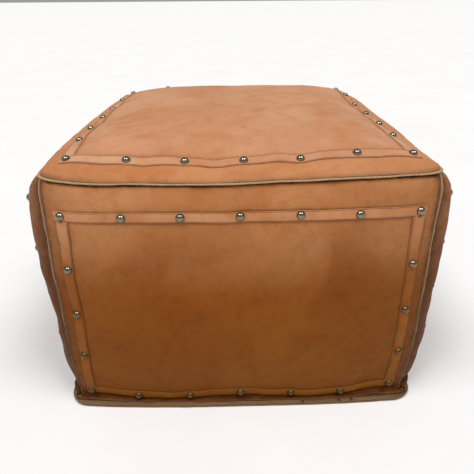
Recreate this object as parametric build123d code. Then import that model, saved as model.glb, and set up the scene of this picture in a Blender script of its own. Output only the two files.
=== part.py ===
from build123d import *
import math
import os

# Square leather pouf, stuffed. Millimetres, +Z up, front towards -Y.
# Origin: centre of the underside, on the floor.

os.makedirs("parts", exist_ok=True)

# ---- driving dimensions ----
SEAM_HALF = 229.0      # half width of the cover at its seams, corner to corner
SEAM_BOW = 14.0        # how far each seam bows out between two corners
SWELL_MID = 1.5        # swell of a side panel over its middle, and at its shoulders
SWELL_SHOULDER = 4.5
SHOULDER = 61.6        # height of each shoulder
LEATHER = 2.4          # thickness of the cover leather
WELT = 2.4             # thickness of the flat welts
WELT_PROUD = 5.0       # how far the top and corner welts stand out of their seams
CORNER_WELT = 2.0      # thickness of the corner welts
FLANGE = 18.0          # width of the base flange outside the seam
FLANGE_CORNER = 30.0   # corner radius of the base flange
TOP_SEAM_Z = 338.0     # height of the side panels' upper edge
CROWN = 36.0           # rise of the top panel from its seam to its middle
CROWN_POWER = 3.6
STRIP_W = 13.0         # trim strips: width, thickness, gap to the panel
STRIP_T = 1.6
STRIP_GAP = 0.25
STUD_PITCH = 70.0      # studs along a horizontal strip
STUD_PITCH_V = 69.3    # studs up a side panel
STUD_ROW_Z = 296.0     # height of the upper row of studs
STUD_R = 5.0           # stud head radius and height
STUD_H = 4.2
PRONG = 4.3            # length of the prongs
TOP_FRAME = 203.0      # half size of the top panel's strip frame, at its corners
TOP_FRAME_BOW = 6.0
TOP_PITCH = 2 * TOP_FRAME / 6
LINER = 0.8            # cotton liner bag
ZIP_HALF = 212.0       # half length of the zip tapes
ZIP_TRAVEL = 367.0     # travel of the slider from closed to open

Z0 = 2 * WELT          # side panels start on the base flange
Z1 = TOP_SEAM_Z
ZC = TOP_SEAM_Z + WELT  # top panel starts on the top welt


# every horizontal line on a side panel is an arc about one upright axis, AXIS_Y behind the front
R_SEAM = (SEAM_HALF ** 2 + SEAM_BOW ** 2) / (2 * SEAM_BOW)
AXIS_Y = R_SEAM - SEAM_HALF - SEAM_BOW
ZM = (Z0 + Z1) / 2
HM = (Z1 - Z0) / 2 - SHOULDER
R_MID = HM ** 2 / (2 * SWELL_MID)
SLOPE = HM / R_MID
R_SH = SHOULDER ** 2 / (2 * (SWELL_SHOULDER - SLOPE * SHOULDER))
CS = math.sqrt(1 - SLOPE ** 2)
C_MID = SWELL_MID + SWELL_SHOULDER - R_MID
C_SH = C_MID + (R_MID - R_SH) * CS
Z_SH = (R_MID - R_SH) * SLOPE


def swell(z, d=0.0):
    """how far a side panel stands out past its seams at height z, offset outwards by d"""
    t = abs(z - ZM)
    if t <= (R_MID + d) * SLOPE:
        return C_MID + math.sqrt((R_MID + d) ** 2 - t * t)
    return C_SH + math.sqrt((R_SH + d) ** 2 - (t - Z_SH) ** 2)


def corner(z, d=0.0):
    """x (= y) of the corner between two side panels at height z"""
    r = R_SEAM + swell(z, d)
    return (math.sqrt(2 * r * r - AXIS_Y ** 2) - AXIS_Y) / 2


def side_y(x, z):
    """y of the front panel's outside"""
    return AXIS_Y - math.sqrt((R_SEAM + swell(z)) ** 2 - x * x)


def upright(d, za, zb):
    """edges of the side profile offset by d, in the XZ plane about the upright axis"""
    j = (R_MID + d) * SLOPE
    cuts = [za] + [z for z in (ZM - j, ZM + j) if za + 0.01 < z < zb - 0.01] + [zb]
    e = []
    for a, b in zip(cuts, cuts[1:]):
        p = [(R_SEAM + swell(z, d), 0, z) for z in (a, (a + b) / 2, b)]
        e.append(Edge.make_three_point_arc(*p))
    return e, (R_SEAM + swell(za, d), 0, za), (R_SEAM + swell(zb, d), 0, zb)


def side_skin(d0, d1, x0, x1, za, zb):
    """front skin between offsets d0 and d1, from x0 to x1 and za to zb; d0 None makes it a deep block"""
    e1, a1, b1 = upright(d1, za, zb)
    if d0 is None:
        e0, a0, b0 = [Edge.make_line((R_SEAM - 520, 0, za), (R_SEAM - 520, 0, zb))], (R_SEAM - 520, 0, za), (R_SEAM - 520, 0, zb)
    else:
        e0, a0, b0 = upright(d0, za, zb)
    w = Wire(e0 + [Edge.make_line(b0, b1)] + e1 + [Edge.make_line(a1, a0)])
    p0, p1 = (math.degrees(math.asin(x / R_SEAM)) for x in (x0, x1))
    s = Solid.revolve(Face(w), p1 - p0, Axis((0, 0, 0), (0, 0, 1)))
    return s.rotate(Axis.Z, -90 + p0).moved(Location((0, AXIS_Y, 0)))


def bulge(x, half, bow):
    """distance from the centre to a bowed side at x along it"""
    r = (half * half + bow * bow) / (2 * bow)
    return half + math.sqrt(max(r * r - x * x, 0)) - (r - bow)


def outline(half, bow, z=0.0):
    """closed wire of four outward arcs"""
    p = [(-half, -half), (half, -half), (half, half), (-half, half)]
    m = [(0, -half - bow), (half + bow, 0), (0, half + bow), (-half - bow, 0)]
    e = []
    for i in range(4):
        a, b, c = p[i], m[i], p[(i + 1) % 4]
        e.append(Edge.make_three_point_arc((a[0], a[1], z), (b[0], b[1], z), (c[0], c[1], z)))
    return Wire(e)


def slab(half, bow, z, t, corner=0.0):
    """plate of bowed square outline from z to z + t"""
    f = Face(outline(half, bow))
    if corner:
        f = fillet(f.vertices(), corner)
        f = f.faces()[0] if hasattr(f, "faces") else f
    return extrude(f, t, dir=(0, 0, 1)).moved(Location((0, 0, z)))


CROWN_S = [1, .95, .88, .78, .65, .5, .34, .2, .1]


def crown(inset=0.0, drop=0.0):
    """lofted crown of the top"""
    w = []
    for s in CROWN_S:
        z = ZC + CROWN * (1 - s ** CROWN_POWER) - drop
        w.append(outline((SEAM_HALF - inset) * s, SEAM_BOW * s, z))
    return Solid.make_loft(w)


def crown_z(x, y):
    """height of the top panel's outside over a point"""
    a, b = (abs(x), abs(y)) if abs(y) >= abs(x) else (abs(y), abs(x))
    lo, hi = 0.05, 1.2
    for _ in range(60):
        s = (lo + hi) / 2
        h, bw = SEAM_HALF * s, SEAM_BOW * s
        if bulge(min(a, h), h, bw) < b:
            lo = s
        else:
            hi = s
    return ZC + CROWN * (1 - s ** CROWN_POWER)


def wedge(i, gap):
    """the quarter of space in front of side i (0 front, 1 right, 2 back, 3 left), short of the corner planes"""
    g = gap * math.sqrt(2)
    L = 400.0
    tri = Face(Wire.make_polygon([(0, -g), (-L, -L - g), (L, -L - g)], close=True))
    return extrude(tri, 500, dir=(0, 0, 1)).moved(Location((0, 0, -20))).rotate(Axis.Z, 90 * i)


def box(x0, x1, y0, y1, z0, z1):
    return Solid.make_box(x1 - x0, y1 - y0, z1 - z0, Plane(origin=(x0, y0, z0)))


written = []


def put(shape, name):
    s = list(shape.solids())
    made = s[0] if len(s) == 1 else Compound(children=s)
    export_step(made, f"parts/{name}.step")
    written.append(name)
    return made


SIDES = ["front", "right", "back", "left"]

# ---- side panels ----
panel = side_skin(-LEATHER, 0, -262, 262, Z0, Z1) & wedge(0, CORNER_WELT / 2 + 0.2)
for i, side in enumerate(SIDES):
    put(panel.rotate(Axis.Z, 90 * i), f"{side}_panel")

# ---- top panel ----
top = crown()
put(top - top.moved(Location((0, 0, -LEATHER))), "top_panel")

# ---- top welt: flat loop between the side panels and the top panel ----
put(slab(SEAM_HALF + WELT_PROUD, SEAM_BOW, Z1, WELT, 9.0) - slab(SEAM_HALF - LEATHER, SEAM_BOW, Z1 - 1, WELT + 2), "top_welt")

# ---- corner welts: flat strips in the four corner seams ----
zs = [Z0 + (Z1 - Z0) * t for t in (0, .05, .15, .3, .5, .7, .85, .95, 1)]
for name, sx, sy in (("front_left", -1, -1), ("front_right", 1, -1), ("back_right", 1, 1), ("back_left", -1, 1)):
    pl = Plane(origin=(0, 0, 0), x_dir=(sx, sy, 0), z_dir=Vector(sx, sy, 0).cross(Vector(0, 0, 1)))
    o = [pl.from_local_coords((corner(z) * math.sqrt(2) + WELT_PROUD, z, 0)) for z in zs]
    n = [pl.from_local_coords((corner(z, -LEATHER) * math.sqrt(2), z, 0)) for z in zs]
    w = Wire([Edge.make_spline(o), Edge.make_line(o[-1], n[-1]), Edge.make_spline(n[::-1]), Edge.make_line(n[0], o[0])])
    f = Face(w)
    d = pl.z_dir
    s = extrude(f, CORNER_WELT / 2, dir=d, both=True)
    put(s, f"corner_welt_{name}")

# ---- base: flange, and the base panel in two halves with a raised edge along the zip ----
HB = SEAM_HALF + FLANGE
put(slab(HB, SEAM_BOW, WELT, WELT, FLANGE_CORNER) - slab(SEAM_HALF - LEATHER, SEAM_BOW, WELT - 1, WELT + 2), "base_welt")
plate = slab(HB, SEAM_BOW, 0, LEATHER, FLANGE_CORNER) - box(-29, 29, -215, 215, -1, 5)
ramp = [(-30, 0), (-26, 0), (-14, 6.9), (-6.5, 6.9), (-6.5, 9.3), (-15.2, 9.3), (-27.2, 2.4), (-30, 2.4)]
for name, sx in (("left", 1), ("right", -1)):
    f = Face(Wire.make_polygon([(sx * x, -215, z) for x, z in ramp], close=True))
    rib = extrude(f, 430, dir=(0, 1, 0))
    half = plate & (box(-300, -0.1, -300, 300, -1, 12) if sx > 0 else box(0.1, 300, -300, 300, -1, 12))
    put(half + rib, f"base_panel_{name}")

# ---- base seam thread ----
put(slab(SEAM_HALF + 6.6, SEAM_BOW, Z0, 0.6, 3.7) - slab(SEAM_HALF + 5.4, SEAM_BOW, Z0 - 1, 3, 2.5), "base_seam_thread")

# ---- trim strips on the side panels: upper and lower run full width, uprights butt between them ----
xe = 3 * STUD_PITCH + STRIP_W / 2
xi = xe - STRIP_W
zt = STUD_ROW_Z
zb = STUD_ROW_Z - 4 * STUD_PITCH_V
hw = STRIP_W / 2
for k, (x0, x1, z0, z1) in {
    "upper": (-xe, xe, zt - hw, zt + hw),
    "lower": (-xe, xe, zb - hw, zb + hw),
    "left": (-xe, -xi, zb + hw + 0.2, zt - hw - 0.2),
    "right": (xi, xe, zb + hw + 0.2, zt - hw - 0.2),
}.items():
    strip = side_skin(STRIP_GAP, STRIP_GAP + STRIP_T, x0, x1, z0, z1)
    for i, side in enumerate(SIDES):
        put(strip.rotate(Axis.Z, 90 * i), f"{side}_strip_{k}")

# ---- trim strips on the top panel ----
skin = top.moved(Location((0, 0, STRIP_GAP + STRIP_T))) - top.moved(Location((0, 0, STRIP_GAP)))
ring = slab(TOP_FRAME + hw, TOP_FRAME_BOW, ZC, 80) - slab(TOP_FRAME - hw, TOP_FRAME_BOW, ZC - 1, 90)
band = skin & ring
c = TOP_FRAME - hw
for k, b in {
    "front": box(-300, 300, -300, -c + 0.1, 300, 420),
    "back": box(-300, 300, c - 0.1, 300, 300, 420),
    "left": box(-300, -100, -c + 0.3, c - 0.3, 300, 420),
    "right": box(100, 300, -c + 0.3, c - 0.3, 300, 420),
}.items():
    put(band & b, f"top_strip_{k}")

# ---- studs: domed head with two prongs ----
ball_r = (STUD_R ** 2 + STUD_H ** 2) / (2 * STUD_H)
dome = Solid.make_sphere(ball_r, angle1=-90, angle2=90, angle3=360).moved(Location((0, 0, STUD_H - ball_r))) & box(-9, 9, -9, 9, 0, 9)
stud = dome + box(-3.9, -3.2, -0.7, 0.7, -PRONG, 0.3) + box(3.2, 3.9, -0.7, 0.7, -PRONG, 0.3)
stud = stud.solids()[0]
LIFT = STRIP_GAP + STRIP_T + 0.15


def set_stud(x, y, z, n, along):
    n = Vector(*n).normalized()
    p = Vector(x, y, z) + n * LIFT
    return stud.moved(Plane(origin=p, x_dir=along, z_dir=n).location)


def frame_points():
    pts = [((k - 3) * STUD_PITCH, zt) for k in range(7)]
    pts += [((k - 3) * STUD_PITCH, zb) for k in range(7)]
    pts += [(sx * 3 * STUD_PITCH, zt - k * STUD_PITCH_V) for k in (1, 2, 3) for sx in (-1, 1)]
    return pts


for i, side in enumerate(SIDES):
    made = []
    for x, z in frame_points():
        y = side_y(x, z)
        dx = (side_y(x + 0.5, z) - side_y(x - 0.5, z))
        dz = (side_y(x, z + 0.5) - side_y(x, z - 0.5))
        n = (dx, -1, dz)
        made.append(set_stud(x, y, z, n, (1, dx, 0)).rotate(Axis.Z, 90 * i))
    put(Compound(children=made), f"{side}_studs")

made = []
for i in range(4):
    for k in range(6):
        x = (k - 3) * TOP_PITCH
        y = -bulge(x, TOP_FRAME, TOP_FRAME_BOW)
        z = crown_z(x, y)
        e = 0.5
        dx = crown_z(x + e, y) - crown_z(x - e, y)
        dy = crown_z(x, y + e) - crown_z(x, y - e)
        made.append(set_stud(x, y, z, (-dx, -dy, 1), (1, 0, dx)).rotate(Axis.Z, 90 * i))
put(Compound(children=made), "top_studs")

# ---- inside: cotton liner bag and stuffing, with a groove over the zip ----


def soft_body(inset, drop, low):
    """the room inside the cover, inset from the outside of the side panels"""
    q = side_skin(None, -inset, -420, 420, low, Z1 - drop)
    a = q & q.rotate(Axis.Z, 180) & q.rotate(Axis.Z, 90) & q.rotate(Axis.Z, 270)
    w = []
    for s in CROWN_S:
        w.append(outline((SEAM_HALF - inset - 0.5) * s, SEAM_BOW * s, Z1 - drop + CROWN * (1 - s ** CROWN_POWER)))
    return a + Solid.make_loft(w)


def groove(g):
    return box(-29 - g, 29 + g, -216 - g, 216 + g, -5, 13.2 + g)


bag = soft_body(LEATHER + 0.6, 1.0, LEATHER + 0.4) - groove(0)
void = soft_body(LEATHER + 0.6 + LINER, 1.0 + LINER, LEATHER + 0.4 + LINER) - groove(LINER)
put(bag - void, "inner_liner")
fill = soft_body(LEATHER + 1.0 + LINER, 1.4 + LINER, LEATHER + 0.8 + LINER) - groove(LINER + 0.4)
put(fill, "stuffing")

# ---- zip in the base, closed, with its slider at the front end ----
for name, sx in (("left", -1), ("right", 1)):
    x0, x1 = sorted((sx * 1.2, sx * 16))
    put(box(x0, x1, -ZIP_HALF, ZIP_HALF, 9.4, 10.0), f"zip_tape_{name}")
    x0, x1 = sorted((sx * 0.15, sx * 2.6))
    put(box(x0, x1, -199, 200, 7.0, 9.2), f"zip_teeth_{name}")
put(Compound(children=[box(0.6, 3.0, -208, -205.4, 7.0, 9.3), box(-3.0, -0.6, -208, -205.4, 7.0, 9.3)]), "zip_top_stops")
put(box(-3, 3, 200.4, 203.4, 6.9, 9.3), "zip_bottom_stop")

PY, PZ = -197.0, 3.0   # pull tab pivot
body = box(-5, 5, -203.5, -188, 5.2, 6.8) + box(-5, 5, -203.5, -188, 10.3, 11.5)
body = body + box(-0.9, 0.9, -203.5, -200, 6.5, 10.6)
body = body + box(-5, -4, -203.5, -188, 6.5, 8.6) + box(4, 5, -203.5, -188, 6.5, 8.6)
for sx in (-1, 1):
    x0, x1 = sorted((sx * 2.0, sx * 3.4))
    body = body + box(x0, x1, PY - 1.6, PY + 1.6, 1.6, 5.4)
pin = Solid.make_cylinder(0.8, 6.0, Plane(origin=(-3.0, PY, PZ), z_dir=(1, 0, 0)))
put(body + pin, "zip_slider")

eye = Solid.make_cylinder(1.7, 3.4, Plane(origin=(-1.7, PY, PZ), z_dir=(1, 0, 0)))
tab = eye + box(-1.7, 1.7, PY, PY + 8, PZ - 0.8, PZ + 0.8) + box(-4, 4, PY + 6, PY + 32, PZ - 0.8, PZ + 0.8)
tab = tab - Solid.make_cylinder(0.9, 6, Plane(origin=(-3, PY, PZ), z_dir=(1, 0, 0)))
tab = tab - box(-2, 2, PY + 12, PY + 27, PZ - 2, PZ + 2)
put(tab, "zip_pull_tab")

print(len(written), "nodes")
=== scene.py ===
import bpy
import math
import numpy as np
from mathutils import Matrix, Vector


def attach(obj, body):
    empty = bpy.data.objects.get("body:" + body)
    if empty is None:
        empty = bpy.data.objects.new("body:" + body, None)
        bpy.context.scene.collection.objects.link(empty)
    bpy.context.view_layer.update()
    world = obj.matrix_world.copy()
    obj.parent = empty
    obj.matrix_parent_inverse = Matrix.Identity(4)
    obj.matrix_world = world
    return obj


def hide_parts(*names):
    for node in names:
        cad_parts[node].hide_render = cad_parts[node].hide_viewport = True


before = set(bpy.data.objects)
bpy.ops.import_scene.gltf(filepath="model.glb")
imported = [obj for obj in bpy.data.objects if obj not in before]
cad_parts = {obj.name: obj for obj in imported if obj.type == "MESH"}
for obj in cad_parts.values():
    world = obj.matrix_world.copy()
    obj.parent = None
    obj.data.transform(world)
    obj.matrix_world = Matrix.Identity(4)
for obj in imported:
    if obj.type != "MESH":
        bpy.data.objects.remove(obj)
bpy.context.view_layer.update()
TAU = 2 * math.pi

# ------------------------------------------------------------------ numbers, in millimetres
SIDES = ["front", "right", "back", "left"]      # side i is the front one turned by 90 degrees i times about Z
HALF = 227.5            # half width of the cover at its top seam, corner to corner
BOW = 15.0              # how far each seam bows out between two corners
ZL, ZT = 7.3, 338.0     # lip of the side panels on the flange; top edge of the side panels
ZW = 339.2              # middle of the top welt
CROWN, CROWN_N = 33.0, 3.8
EAR = 2.0               # how far the top seam rises at a corner
THICK = 2.2             # leather
R_TOP, R_COR, R_BOT = 3.0, 2.7, 2.6
G_WELT = 1.25           # half a corner welt, and a little room
PITCH, PITCH_V, ROW = 70.0, 69.3, 296.0
TOP_F, TOP_FB = 203.0, 6.0
STRIP_W, STRIP_T = 13.8, 1.6
STITCH = 5.9            # stitch lines of a strip, from its middle
MM = 0.001


# how this one hand-sewn pouf departs from true: centres of soft bumps (mm) and the weight of each
SLOUCH_R = 75.0
SLOUCH = np.array([
    [-210, -239, 296, 11.34, 0.00, 2.02],
    [-210, -235, 18, 1.38, 0.00, 7.37],
    [-140, -246, 296, 3.78, 0.00, 5.57],
    [-140, -240, 18, -5.67, 0.00, -4.53],
    [-70, -249, 296, 2.23, 0.00, 2.68],
    [-70, -241, 18, -0.38, 0.00, -3.49],
    [-0, -250, 296, -0.89, 0.00, 4.00],
    [-0, -241, 18, -1.29, 0.00, 3.28],
    [70, -250, 296, -3.71, 0.00, 3.77],
    [70, -241, 18, -0.30, 0.00, -3.51],
    [140, -247, 296, -3.62, 0.00, 1.11],
    [140, -239, 18, 0.25, 0.00, -5.38],
    [210, -238, 296, -14.33, 0.00, 2.59],
    [210, -235, 18, -3.70, -0.00, 9.96],
    [-211, -241, 227, -2.47, 0.00, -2.85],
    [-211, -241, 157, 1.20, 0.00, 4.20],
    [-210, -240, 88, -0.37, 0.00, 0.09],
    [211, -241, 227, -4.47, 0.00, 0.12],
    [211, -241, 157, -3.38, 0.00, 3.24],
    [211, -240, 88, -3.75, 0.00, 0.74],
    [-231, -231, 314, -5.35, 0.00, 3.96],
    [-233, -233, 248, -2.09, 0.00, -1.06],
    [-234, -234, 165, 1.65, -0.00, -1.03],
    [-233, -233, 73, -0.84, 0.00, -3.64],
    [231, -231, 306, 8.31, 0.00, -0.61],
    [233, -233, 239, 6.46, 0.00, -1.26],
    [234, -234, 162, 3.15, -0.00, -1.44],
    [233, -233, 75, 6.84, 0.00, -4.58],
    [-190, -238, 339, 1.31, -0.00, -6.46],
    [-150, -242, 338, -2.97, 0.00, -3.39],
    [-100, -245, 338, -6.03, -0.00, 1.25],
    [-50, -246, 338, -0.51, -0.00, -1.39],
    [0, -246, 338, -1.71, -0.00, -0.25],
    [65, -246, 338, -1.19, 0.00, -0.38],
    [130, -244, 338, 7.31, -0.00, -0.41],
    [180, -239, 338, -5.47, -0.00, 2.89],
    [-225, -226, 341, -10.95, -0.00, 1.84],
    [225, -226, 341, 15.21, -0.00, -2.62],
    [-204, -203, 358, 6.05, -0.00, -1.65],
    [-135, -208, 360, 2.54, 0.00, -0.44],
    [-68, -210, 360, 3.34, 0.00, -6.20],
    [0, -210, 359, 4.47, 0.00, -4.02],
    [68, -210, 360, 0.98, -0.00, -2.76],
    [135, -208, 360, 1.71, 0.00, -1.22],
    [203, -204, 358, -5.34, 0.00, -1.21],
    [208, -135, 360, -4.56, -0.00, -0.07],
    [210, -68, 360, 0.06, 0.00, -5.25],
    [210, 0, 360, -2.57, 0.00, 1.17],
    [209, 68, 360, -2.86, -0.00, -6.99],
    [-208, -135, 360, -2.23, 0.00, -1.45],
    [-210, -68, 360, -3.50, -0.00, -3.63],
    [-210, -0, 360, -1.31, 0.00, -2.27],
    [-210, 68, 360, -2.90, -0.00, -3.70],
    [-208, 135, 361, -4.39, 0.00, -6.49],
    [-200, 243, 310, 0.32, 0.00, 0.47],
    [-70, 243, 310, -0.09, 0.00, -0.13],
    [245, -60, 190, -0.11, 0.00, -0.13],
    [245, -60, 310, 1.44, 0.00, 2.29],
    [245, 80, 190, -0.10, 0.00, -0.18],
    [245, 80, 310, 1.70, 0.00, 3.02],
    [245, 180, 310, -0.12, 0.00, -0.11],
    [-110, -80, 370, 0.57, 0.00, 1.08],
    [-110, 60, 370, 0.84, 0.00, 1.16],
    [-110, 180, 370, 0.52, 0.00, 0.76],
    [0, -80, 370, -0.38, 0.00, 0.16],
    [0, 60, 370, -0.15, 0.00, -0.23],
    [0, 180, 370, -0.05, 0.00, -0.07],
    [110, -80, 370, 0.50, 0.00, 0.86],
    [110, 60, 370, 0.62, 0.00, 0.97],
    [-120, -245, 110, 1.23, 0.00, 1.03],
    [-120, -245, 200, -1.07, 0.00, -1.30],
    [0, -245, 110, 0.21, 0.00, 0.10],
    [0, -245, 200, 0.22, 0.00, -1.03],
    [120, -245, 110, 0.19, 0.00, 1.15],
    [120, -245, 200, 2.06, 0.00, -1.25],
])


def slouch(V):
    """the same uneven drift for every piece, none at the base"""
    V = np.asarray(V, float).copy()
    if not len(SLOUCH):
        return V
    t = np.clip((V[:, 2] - 4.0) / 8.5, 0, 1)
    fade = t * t * (3 - 2 * t)
    W = np.zeros_like(V)
    for c in SLOUCH:
        W += np.exp(-((V - c[:3]) ** 2).sum(1) / SLOUCH_R ** 2)[:, None] * c[3:]
    return V + W * fade[:, None]


# ------------------------------------------------------------------ seeded smooth noise
def _hash(ix, iy, iz, seed):
    m = 0xFFFFFFFF
    n = ((ix * 374761393) & m) ^ ((iy * 668265263) & m) ^ ((iz * 2246822519) & m) ^ ((seed * 3266489917) & m)
    n = ((n ^ (n >> 13)) * 1274126177) & m
    n = ((n ^ (n >> 16)) * 2654435761) & m
    n = n ^ (n >> 15)
    return n.astype(np.float64) / 4294967295.0 * 2 - 1


def vnoise(x, y, z, scale, seed):
    x, y, z = np.broadcast_arrays(np.asarray(x, float) / scale, np.asarray(y, float) / scale, np.asarray(z, float) / scale)
    fx, fy, fz = np.floor(x), np.floor(y), np.floor(z)
    ix, iy, iz = fx.astype(np.int64), fy.astype(np.int64), fz.astype(np.int64)
    u, v, w = x - fx, y - fy, z - fz
    u, v, w = (t * t * t * (t * (t * 6 - 15) + 10) for t in (u, v, w))
    r = 0
    for dx in (0, 1):
        for dy in (0, 1):
            for dz in (0, 1):
                r = r + _hash(ix + dx, iy + dy, iz + dz, seed) * (u if dx else 1 - u) * (v if dy else 1 - v) * (w if dz else 1 - w)
    return r


def fbm(x, y, z, scale, seed, octaves=3):
    r, a, t = 0, 1.0, 0
    for k in range(octaves):
        r = r + a * vnoise(x, y, z, scale / 2 ** k, seed + 17 * k)
        t += a
        a *= 0.5
    return r / t


def smooth(a, b, x):
    t = np.clip((x - a) / (b - a), 0, 1)
    return t * t * (3 - 2 * t)


# ------------------------------------------------------------------ mesh helpers
def new_mesh(name, verts, faces, mat, body="pouf", flat=False, attrs=None, drift=True):
    """verts in millimetres (n, 3); faces as arrays of quads, or lists"""
    me = bpy.data.meshes.new(name)
    verts = slouch(verts) if drift else verts
    if isinstance(faces, np.ndarray):
        faces = faces.tolist()
    me.from_pydata((np.asarray(verts) * MM).tolist(), [], faces)
    me.update()
    if not flat:
        me.polygons.foreach_set("use_smooth", np.ones(len(me.polygons), dtype=bool))
    for key, val in (attrs or {}).items():
        at = me.attributes.new(key, "FLOAT", "POINT")
        at.data.foreach_set("value", np.ascontiguousarray(val, dtype=np.float32))
    ob = bpy.data.objects.new(name, me)
    bpy.context.scene.collection.objects.link(ob)
    me.materials.append(mat)
    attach(ob, body)
    return ob


def grid_quads(nr, nc, close_c=False, base=0):
    r = np.arange(nr - 1)[:, None]
    c = np.arange(nc if close_c else nc - 1)[None, :]
    c2 = (c + 1) % nc
    return (np.stack([r * nc + c, r * nc + c2, (r + 1) * nc + c2, (r + 1) * nc + c], -1).reshape(-1, 4)) + base


def grid_normals(P):
    du = np.gradient(P, axis=1)
    dv = np.gradient(P, axis=0)
    n = np.cross(du, dv)
    return n / np.maximum(np.linalg.norm(n, axis=-1, keepdims=True), 1e-9)


def shell(P, t, flip=False):
    """closed sheet of thickness t whose outside is the grid P, with outward normals du x dv"""
    nr, nc = P.shape[:2]
    N = grid_normals(P) * (-1 if flip else 1)
    inner = P - N * t
    V = np.concatenate([P.reshape(-1, 3), inner.reshape(-1, 3)])
    m = nr * nc
    a = grid_quads(nr, nc)
    b = grid_quads(nr, nc, base=m)[:, ::-1]
    rim = list(range(nc)) + [r * nc + nc - 1 for r in range(1, nr)] + [(nr - 1) * nc + c for c in range(nc - 2, -1, -1)] + [r * nc for r in range(nr - 2, 0, -1)]
    rim = np.array(rim)
    nxt = np.roll(rim, -1)
    side = np.stack([nxt, rim, rim + m, nxt + m], -1)
    F = np.concatenate([a, b, side])
    return V, (F[:, ::-1] if flip else F)


def sweep(S, closed_path=False, caps=True):
    """S (path, section, 3); the section is a closed loop. Quads, with fan caps"""
    n, k = S.shape[:2]
    V = S.reshape(-1, 3)
    F = grid_quads(n, k, close_c=True).tolist()
    if closed_path:
        c = np.arange(k)
        c2 = (c + 1) % k
        F += np.stack([(n - 1) * k + c, (n - 1) * k + c2, c2, c], -1).tolist()
    elif caps:
        V = np.concatenate([V, S[0].mean(0)[None], S[-1].mean(0)[None]])
        a, b = n * k, n * k + 1
        for c in range(k):
            d = (c + 1) % k
            F.append([d, c, a])
            F.append([(n - 1) * k + c, (n - 1) * k + d, b])
    return V, F


def join(parts):
    """parts: list of (verts, faces) into one"""
    V, F, base = [], [], 0
    for v, f in parts:
        V.append(np.asarray(v))
        F += [[i + base for i in q] for q in (f.tolist() if isinstance(f, np.ndarray) else f)]
        base += len(v)
    return np.concatenate(V), F


def turn(P, i):
    """a point array turned by 90 degrees i times about Z"""
    c, s = [(1, 0), (0, 1), (-1, 0), (0, -1)][i % 4]
    P = np.asarray(P, float)
    return np.stack([c * P[..., 0] - s * P[..., 1], s * P[..., 0] + c * P[..., 1], P[..., 2]], -1)


def unit(v):
    return v / np.maximum(np.linalg.norm(v, axis=-1, keepdims=True), 1e-9)


# ------------------------------------------------------------------ the cover's shape
def half(z):
    """half width between the corners of the side panels at height z"""
    t = np.clip((z - ZL) / (ZT - ZL), 0, 1)
    return 230.5 + 4.3 * (1 - np.abs(2 * t - 1) ** 2.4) - 3.0 * np.exp(-np.maximum(ZT - z, 0) / 9.0) - 1.2 * np.exp(-np.maximum(z - ZL, 0) / 9.0)


BOW_B = 8.0             # bow of the bottom edge, where the flat base holds it


def bow(z):
    return BOW_B + (BOW - BOW_B) * smooth(ZL, 120, z)


# how far the left and right panels puff out beyond their seams, by height
PUFF_Z = [0, 20, 50, 90, 130, 170, 210, 250, 290, 320, 340]
PUFF_E = {1: [9, 17, 18, 16, 16, 17, 18, 18, 16.5, 12, 4], 3: [6, 13, 14, 12, 12.5, 15, 18, 18.5, 16.5, 12, 3.5]}


def puff(i, x, z):
    if i not in PUFF_E:
        return 0.0
    e = np.maximum(half(z) - np.abs(x) - 6.5, 0)
    return np.interp(z, PUFF_Z, PUFF_E[i]) * (1 - np.exp(-e / 8.0)) * (0.5 + 0.5 * np.exp(-((e / 85) ** 2))) * smooth(-5, 9, ZT - z)


def ear(xh):
    return EAR * np.clip(np.abs(xh), 0, 1) ** 9


def frame_dist(x, z, x0, z0, z1):
    """distance from the middle line of a strip frame |x| = x0, z0..z1"""
    dv = np.hypot(np.abs(np.abs(x) - x0), np.maximum(0, np.maximum(z0 - z, z - z1)))
    dh = np.minimum(np.hypot(z - z1, np.maximum(0, np.abs(x) - x0)), np.hypot(z - z0, np.maximum(0, np.abs(x) - x0)))
    return np.minimum(dv, dh)


Z_HI, Z_LO = ROW, ROW - 4 * PITCH_V


SF = [1.0, 0.935, 1.0, 0.935]       # frame of the left and right panels: a little narrower
SZ = [0.0, 6.0, 0.0, 6.0]           # and set a little higher


def side_studs(i):
    p = [((k - 3) * PITCH, Z_HI) for k in range(7)] + [((k - 3) * PITCH, Z_LO) for k in range(7)]
    p += [(s * 3 * PITCH, Z_HI - k * PITCH_V) for k in (1, 2, 3) for s in (-1, 1)]
    return np.array(p) * [SF[i], 1] + [0, SZ[i]]


def top_studs():
    p = []
    for i in range(4):
        for k in range(6):
            x = (k - 3) * TOP_F / 3
            y = -(TOP_F + TOP_FB * (1 - (x / TOP_F) ** 2))
            q = turn(np.array([x, y, 0.0]), i)
            p.append(q[:2])
    return np.array(p)


SIDE_D = [None] * 4      # displacement from the cloth simulation, per side: grid over (x / half, t)
TOP_D = None


def bicubic(G, u, v):
    """Catmull-Rom in the grid G (rows v, columns u) at u, v from 0 to 1"""
    nr, nc = G.shape
    x = np.clip(u, 0, 1) * (nc - 1)
    y = np.clip(v, 0, 1) * (nr - 1)
    ix = np.minimum(np.floor(x).astype(int), nc - 2)
    iy = np.minimum(np.floor(y).astype(int), nr - 2)
    fx, fy = x - ix, y - iy

    def w(t):
        return [-0.5 * t + t * t - 0.5 * t ** 3, 1 - 2.5 * t * t + 1.5 * t ** 3, 0.5 * t + 2 * t * t - 1.5 * t ** 3, -0.5 * t * t + 0.5 * t ** 3]
    wx, wy = w(fx), w(fy)
    r = 0
    for a in range(4):
        for b in range(4):
            r = r + G[np.clip(iy + b - 1, 0, nr - 1), np.clip(ix + a - 1, 0, nc - 1)] * wx[a] * wy[b]
    return r


def side_base(x, z):
    """how far the plain side panel stands in front of the centre"""
    h = half(z)
    return h + bow(z) * (1 - np.clip(np.abs(x) / h, 0, 1.1) ** 3)


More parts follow.
